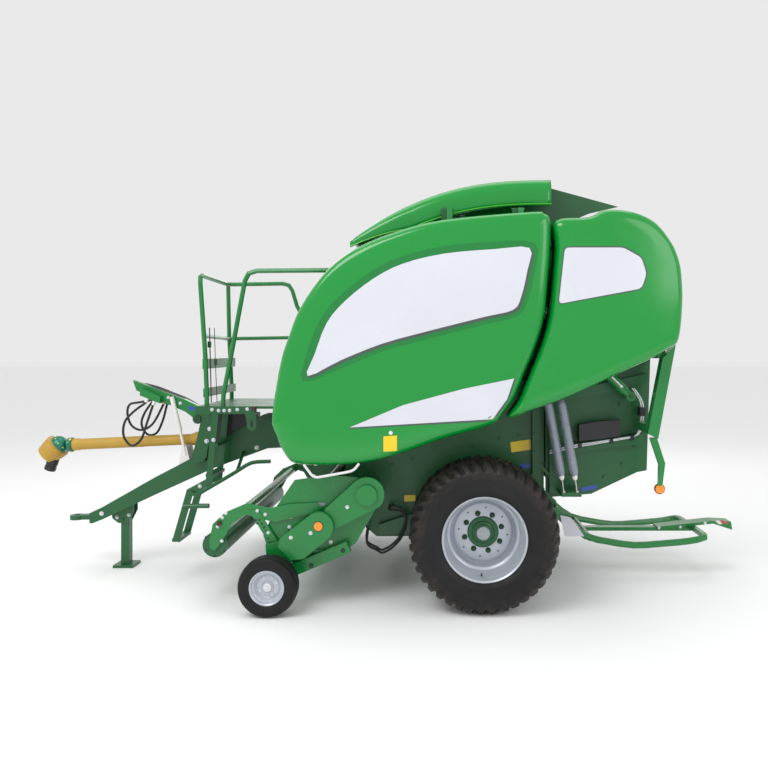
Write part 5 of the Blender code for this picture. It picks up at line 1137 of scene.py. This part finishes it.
# ---------------------------------------------------------------- carried-over nodes
FINISHES = (
    (FRAME, 0.004, "axle chassis drawbar stand_leg"),
    (FRAME, 0.003, "hitch_ring windguard_roller"),
    (FRAME, 0.002, "chamber_wall_left chamber_wall_right tailgate_wall_left tailgate_wall_right platform"),
    (FRAME, 0.002, "ladder_upper ladder_step feed_rotor"),
    (BRIGHT, 0.008, "chain_cover_upper chain_cover_lower"),
    (BRIGHT, 0.005, "gauge_arm_left gauge_arm_right"),
    (BRIGHT, 0.004, "net_box"),
    (BRIGHT, 0.003, "tailgate_post_left tailgate_post_right hose_arm"),
    (BRIGHT, 0.002, "pickup_frame windguard_frame"),
    (BRIGHT, 0.0, "handrail_front handrail_side pickup_bands bale_ramp"),
    (BLACK, 0.006, "gearbox"),
    (BLACK, 0.004, "valve_box"),
    (WHITE, 0.0, "arm_strut"),
)
for node_finish, node_bevel, node_names in FINISHES:
    for node_name in node_names.split():
        finish_node(node_name, node_finish, node_bevel)


# ---------------------------------------------------------------- fittings laid on the carried-over pieces
SKINS = {}
FACE_GAP = 0.0003


def skin_of(node):
    """A node's surface for casting rays at."""
    if node not in SKINS:
        mesh = bmesh.new()
        mesh.from_mesh(frame["nodes"][node].data)
        mesh.transform(frame["nodes"][node].matrix_world)
        SKINS[node] = BVHTree.FromBMesh(mesh)
        mesh.free()
    return SKINS[node]


def face_y(node, x, z, side):
    """Where a node's outer face stands at x and z, or None beside it."""
    hit = skin_of(node).ray_cast(Vector((x, side * 3, z)), Vector((0, -side, 0)))[0]
    return hit.y if hit else None


def middle_of(outline):
    return (sum(x for x, _ in outline) / len(outline), sum(z for _, z in outline) / len(outline))


def laid(name, finish, node, spots, side, make):
    """One piece of what make builds at each spot on a node's outer face. Spots off the node are left out."""
    shapes = []
    for spot in spots:
        x, z = spot[:2] if isinstance(spot[0], (int, float)) else middle_of(spot)
        y = face_y(node, x, z, side)
        if y is not None:
            shapes += make(spot, y + side * FACE_GAP)
    if shapes:
        put(name, body_of(node), finish, shapes)


def sheets(name, finish, node, outlines, side=LEFT, thick=0.0016):
    """Thin plates or films."""
    laid(name, finish, node, outlines, side, lambda outline, y: [prism(outline, y, y + side * thick)])


def bolts(name, finish, node, spots, side=LEFT, across=0.02, height=0.01):
    """Hexagon heads."""
    laid(name, finish, node, spots, side, lambda spot, y: hex_bolt((spot[0], y, spot[1]), (0, side, 0),
                                                                   across, height))


def discs(name, finish, node, spots, side=LEFT, depth=0.002):
    """Round pads, each spot as (x, z, radius)."""
    laid(name, finish, node, spots, side, lambda spot, y: [disc(spot[0], y, spot[1], spot[2], depth, side, 28,
                                                                min(0.0008, depth / 3))])


def tailgate_fittings(name, side):
    """Pipes, labels and edges on a tailgate wall and post; the lime strip along the post's edge is a painted
    highlight.
    """
    wall, post = f"tailgate_wall_{name}", f"tailgate_post_{name}"
    sheets(f"tailgate_tag_{name}", BLUE, wall, [rounded_outline([(1.583, 0.775), (1.7, 0.8), (1.705, 0.77),
                                                                 (1.588, 0.745)], 0.006, 3)], side)
    bolts(f"tailgate_bolts_{name}", FRAME, wall, [(1.36, 1.22), (1.36, 1.42), (1.62, 1.1), (1.9, 0.96),
                                                  (2.0, 1.1), (1.42, 0.95), (1.88, 1.42), (1.98, 1.46),
                                                  (1.5, 0.88), (1.76, 0.86)], side, 0.022, 0.011)
    pipes = []
    for shift in (0.0, 0.016):
        line = [(1.328, 1.067 - shift), (1.505, 1.111 - shift), (2.02 - shift, 1.188 - shift / 2),
                (2.046 - shift, 1.308), (2.046 - shift, 1.447), (1.974 - shift, 1.549)]
        pipes.append(tube(rounded([(x, side * 0.694, z) for x, z in line], 0.06), 0.0055, 10))
    put(f"tailgate_pipes_{name}", "tailgate", ZINC, pipes)
    clamps = [block((x - 0.014, x + 0.014), span(side, TAILGATE_FACE, 0.706), (z - 0.026, z + 0.012))
              for x, z in ((1.56, 1.118), (1.8, 1.153), (1.96, 1.178))]
    clamps.append(block((2.018, 2.06), span(side, TAILGATE_FACE, 0.708), (1.336, 1.403)))
    put(f"pipe_clamps_{name}", "tailgate", BLACK, clamps, bevel=0.002)
    # Painted highlight: a lime strip along the post's edge.
    sheets(f"post_edge_highlight_{name}", LIME_HIGHLIGHT, post, [[(2.16, 1.668), (2.178, 1.668), (2.075, 1.215), (2.06, 1.222)]],
           side, 0.003)
    gusset = [(1.24, 0.96), (1.27, 0.965), (1.44, 0.775), (1.416, 0.76)]
    put(f"wall_gusset_{name}", "tailgate", FRAME, [prism(gusset, *span(side, TAILGATE_FACE, 0.664))],
        bevel=0.002)


def front_wall_fittings(name, side):
    """Labels, tags and bolts on a chamber wall, and the lock of the door over it."""
    wall = f"chamber_wall_{name}"
    sheets(f"wall_label_{name}", YELLOW, wall, [rounded_rect(0.214, 0.668, 0.3, 0.716, 0.004, 0.005),
                                                rounded_outline([(1.034, 1.128), (1.188, 1.149),
                                                                 (1.194, 1.07), (1.042, 1.048)], 0.008, 3)],
           side)
    sheets(f"wall_tag_{name}", BLUE, wall, [rounded_outline([(1.102, 0.955), (1.19, 0.964), (1.193, 0.93),
                                                             (1.106, 0.92)], 0.006, 3)], side)
    bolts(f"wall_bolts_{name}", FRAME, wall, [(0.278, 0.993), (0.4, 0.9), (0.55, 1.02), (0.75, 1.1),
                                              (0.95, 1.16), (1.1, 1.18), (0.12, 0.95), (0.2, 0.46),
                                              (0.6, 0.72), (-0.1, 0.6), (1.22, 1.2), (1.22, 1.06)], side,
          0.022, 0.011)
    lock = [disc(0.146, side * 1.2075, 1.262, 0.014, 0.006, side), disc(0.146, side * 1.2135, 1.262, 0.007,
                                                                        0.001, side, 16, 0.0003)]
    put(f"door_lock_{name}", f"door_{name}", PEARL, lock)


for side_name, side_sign in SIDES:
    tailgate_fittings(side_name, side_sign)
    front_wall_fittings(side_name, side_sign)
    bolts(f"gauge_arm_bolts_{side_name}", DARK, f"gauge_arm_{side_name}", [(-0.203, 0.408), (-0.43, 0.3)],
          side_sign, 0.022, 0.012)
    bolts(f"guard_bolts_{side_name}", ZINC, "windguard_frame", [(-1.08, 0.633), (-1.113, 0.567),
                                                                (-1.055, 0.663), (-0.826, 0.683),
                                                                (-0.77, 0.655), (-0.748, 0.526),
                                                                (-0.817, 0.404), (-1.083, 0.464)], side_sign,
          0.016, 0.008)
    # Painted shade: black discs on the face stand for the dark inside the guard's holes.
    discs(f"guard_hole_shade_{side_name}", BLACK, "windguard_frame",
          [(-0.837, 0.618, 0.008), (-0.808, 0.618, 0.008), (-0.826, 0.591, 0.008), (-0.793, 0.59, 0.008),
           (-0.813, 0.564, 0.008), (-0.777, 0.563, 0.008), (-0.76, 0.536, 0.008), (-0.746, 0.483, 0.008),
           (-0.711, 0.456, 0.008), (-0.735, 0.456, 0.008), (-0.697, 0.428, 0.008), (-0.727, 0.428, 0.008)],
          side_sign, 0.0012)
    discs(f"guard_knob_{side_name}", MAROON, "windguard_frame", [(-1.1, 0.591, 0.017)], side_sign, 0.02)
    discs(f"guard_pin_{side_name}", WHITE, "windguard_frame", [(-0.797, 0.522, 0.018)], side_sign, 0.006)
    # Painted shade: black discs on the face stand for the dark inside the roller's holes.
    discs(f"roller_hole_shade_{side_name}", BLACK, "windguard_roller",
          [(-1.204, 0.485, 0.009), (-1.205, 0.393, 0.009), (-1.139, 0.352, 0.009), (-1.068, 0.385, 0.009),
           (-1.06, 0.478, 0.009), (-1.139, 0.508, 0.009)], side_sign, 0.0012)
    discs(f"roller_nut_{side_name}", ZINC, "windguard_roller", [(-1.139, 0.43, 0.018)], side_sign, 0.01)
    sheets(f"pickup_label_{side_name}", YELLOW, "pickup_frame",
           [rounded_rect(-0.679, 0.62, -0.577, 0.668, 0.0, 0.005),
            rounded_rect(0.006, 0.602, 0.054, 0.644, 0.0, 0.005)], side_sign)
    bolts(f"pickup_bolts_{side_name}", ZINC, "pickup_frame", [(-0.123, 0.92), (0.065, 0.922), (-0.434, 0.536),
                                                              (-0.002, 0.634), (0.087, 0.594), (-0.6, 0.56),
                                                              (-0.52, 0.7), (-0.3, 0.45)], side_sign, 0.018,
          0.009)

bolts("cover_bolts_upper", ZINC, "chain_cover_upper", [(-0.169, 0.725), (0.02, 0.7), (-0.12, 0.9)], LEFT,
      0.018)
bolts("cover_bolts_lower", ZINC, "chain_cover_lower", [(-0.421, 0.552), (-0.56, 0.52), (-0.7, 0.44)], LEFT,
      0.018)
discs("cover_reflector", AMBER, "chain_cover_lower", [(-0.367, 0.599, 0.031)], LEFT, 0.006)
discs("cover_reflector_rim", BLACK, "chain_cover_lower", [(-0.367, 0.599, 0.035)], LEFT, 0.003)
sheets("cover_strip", GREY, "pickup_frame",
       [rounded_outline([(-0.493, 0.725), (-0.454, 0.735), (-0.351, 0.735), (-0.331, 0.725), (-0.386, 0.696)],
                        0.01, 3)])
bolts("platform_bolts", ZINC, "platform", [(-1.311, 1.37), (-1.259, 1.362), (-1.215, 1.362), (-1.172, 1.363),
                                           (-1.111, 1.37), (-1.033, 1.374)], LEFT, 0.018, 0.009)
discs("platform_knob", MAROON, "platform", [(-0.979, 1.38, 0.018)], LEFT, 0.018)
# Painted shade: black discs in a keyhole's shape stand for the dark inside the keyhole.
discs("platform_keyhole_shade", BLACK, "platform", [(-0.998, 1.246, 0.013), (-0.998, 1.262, 0.009),
                                              (-0.998, 1.276, 0.007)], LEFT, 0.001)
discs("round_label", YELLOW, "ladder_upper", [(-1.238, 1.222, 0.05)], LEFT, 0.0016)
discs("round_label_dark", NAVY, "ladder_upper", [(-1.238, 1.222, 0.036)], LEFT, 0.0024)
bolts("ladder_bolts", ZINC, "ladder_upper", [(-1.407, 0.764), (-1.492, 0.714), (-1.38, 0.93), (-1.3, 1.13)],
      LEFT, 0.02)
bolts("upright_bolts", ZINC, "drawbar", [(-1.428, 1.184), (-1.454, 1.082), (-1.443, 0.931), (-1.571, 0.976),
                                         (-2.354, 0.466), (-1.05, 1.02), (-0.85, 1.1)], LEFT, 0.024, 0.012)
bolts("stand_bolts", STEEL, "drawbar", [(-2.25, 0.42), (-2.15, 0.44)], LEFT, 0.02, 0.012)
discs("arm_pivot_boss", DARK, "drawbar", [(-1.529, 1.267, 0.03)], LEFT, 0.014)
sheets("arm_label", BLUE, "hose_arm", [rounded_outline([(-1.628, 1.372), (-1.574, 1.355), (-1.58, 1.325),
                                                        (-1.635, 1.34)], 0.006, 3)])
bolts("arm_bolts", ZINC, "hose_arm", [(-1.7, 1.392), (-1.8, 1.44), (-1.53, 1.27)], LEFT, 0.018)


def rail_straps():
    """The net brake's cord and its strap between the front rail's posts, with a latch block."""
    shapes = [tube([(-1.36, -0.405, 2.02), (-1.352, -0.405, 1.72), (-1.345, -0.405, 1.42)], 0.0045, 8),
              tube([(-1.322, -0.4, 2.02), (-1.312, -0.4, 1.7), (-1.3, -0.4, 1.42)], 0.003, 8)]
    put("rail_cords", "frame", BLACK, shapes)
    put("rail_latch", "frame", DARK, [block((-1.372, -1.346), (-0.42, -0.396), (1.86, 1.91)),
                                      block((-1.322, -1.3), (-0.412, -0.39), (1.72, 1.77))], bevel=0.003)


def hose_couplers():
    """Coloured quick couplers where the hoses meet the plate, and the lines clipped along the arm."""
    kinds = ((WHITE, "white"), (YELLOW, "yellow"), (BLUE, "blue"))
    for (finish, label), (y, leaves, meets, _) in zip(kinds, HOSES.values()):
        shapes = []
        for x in (leaves, meets):
            base, tip = Vector(coupler_point(x, y, 0.0012)), Vector(coupler_point(x, y, 0.04))
            profile = [(0.0104, 0), (0.0165, 0), (0.0165, 0.012), (0.0145, 0.014), (0.0145, 0.03),
                       (0.0125, 0.036), (0.0104, 0.036)]
            shapes.append(turned(profile, base, tip - base, 20, closed=True))
        put(f"coupler_{label}", "frame", finish, shapes)
    lines = []
    for y, lift in ((-0.052, 0.026), (-0.018, 0.03), (0.018, 0.028), (0.052, 0.026)):
        path = [(-2.04, y, 1.52 + lift), (-1.93, y, 1.49 + lift), (-1.8, y * 0.9, 1.44 + lift),
                (-1.68, y * 0.8, 1.392 + lift), (-1.56, y * 0.8, 1.318 + lift), (-1.47, y, 1.24 + lift)]
        lines.append(tube(smooth_line(path, 4), 0.0105, 10))
    put("arm_lines", "frame", RUBBER, lines)
    path = [(0.109, 0.621), (0.176, 0.615), (0.23, 0.561), (0.21, 0.44), (0.143, 0.346), (0.055, 0.293),
            (0.008, 0.313), (-0.065, 0.36), (-0.06, 0.47)]
    loops = [tube(smooth_line([(x, -0.64, 0.64)] + [(x, -0.7 - shift, z + shift) for x, z in path], 5), 0.009,
                  10) for x, shift in ((0.1, 0.0), (0.13, 0.03))]
    put("chamber_lines", "frame", RUBBER, loops)


def ramp_fittings():
    """The plate, end markers and bolts on the bale ramp."""
    sheets("ramp_plate", PLATE, "bale_ramp", [rounded_outline([(1.454, 0.517), (1.54, 0.497), (1.65, 0.345),
                                                               (1.49, 0.345)], 0.01, 3)])
    sheets("ramp_marker_white", WHITE, "bale_ramp", [[(2.815, 0.396), (2.85, 0.4), (2.88, 0.372),
                                                      (2.85, 0.366)]])
    sheets("ramp_marker_red", RED, "bale_ramp", [[(2.855, 0.401), (2.885, 0.4), (2.93, 0.372),
                                                  (2.885, 0.373)]])
    bolts("ramp_bolts", ZINC, "bale_ramp", [(2.342, 0.337), (2.523, 0.344), (2.732, 0.377), (2.789, 0.344)],
          LEFT, 0.016, 0.008)


rail_straps()
hose_couplers()
ramp_fittings()
for piece_name, finish, profile in (("tail_lamp_housings", BLACK, [(0, -0.02), (0.036, -0.02), (0.038, 0.002),
                                                                   (0, 0.002)]),
                                    ("tail_lamp_lenses", AMBER, [(0, 0.001), (0.033, 0.001), (0.032, 0.01),
                                                                 (0.02, 0.014), (0, 0.015)])):
    put(piece_name, "tailgate", finish, [turned(profile, (2.085, side * 0.995, 0.832), (0, side, 0), 32)
                                         for side in (LEFT, RIGHT)])
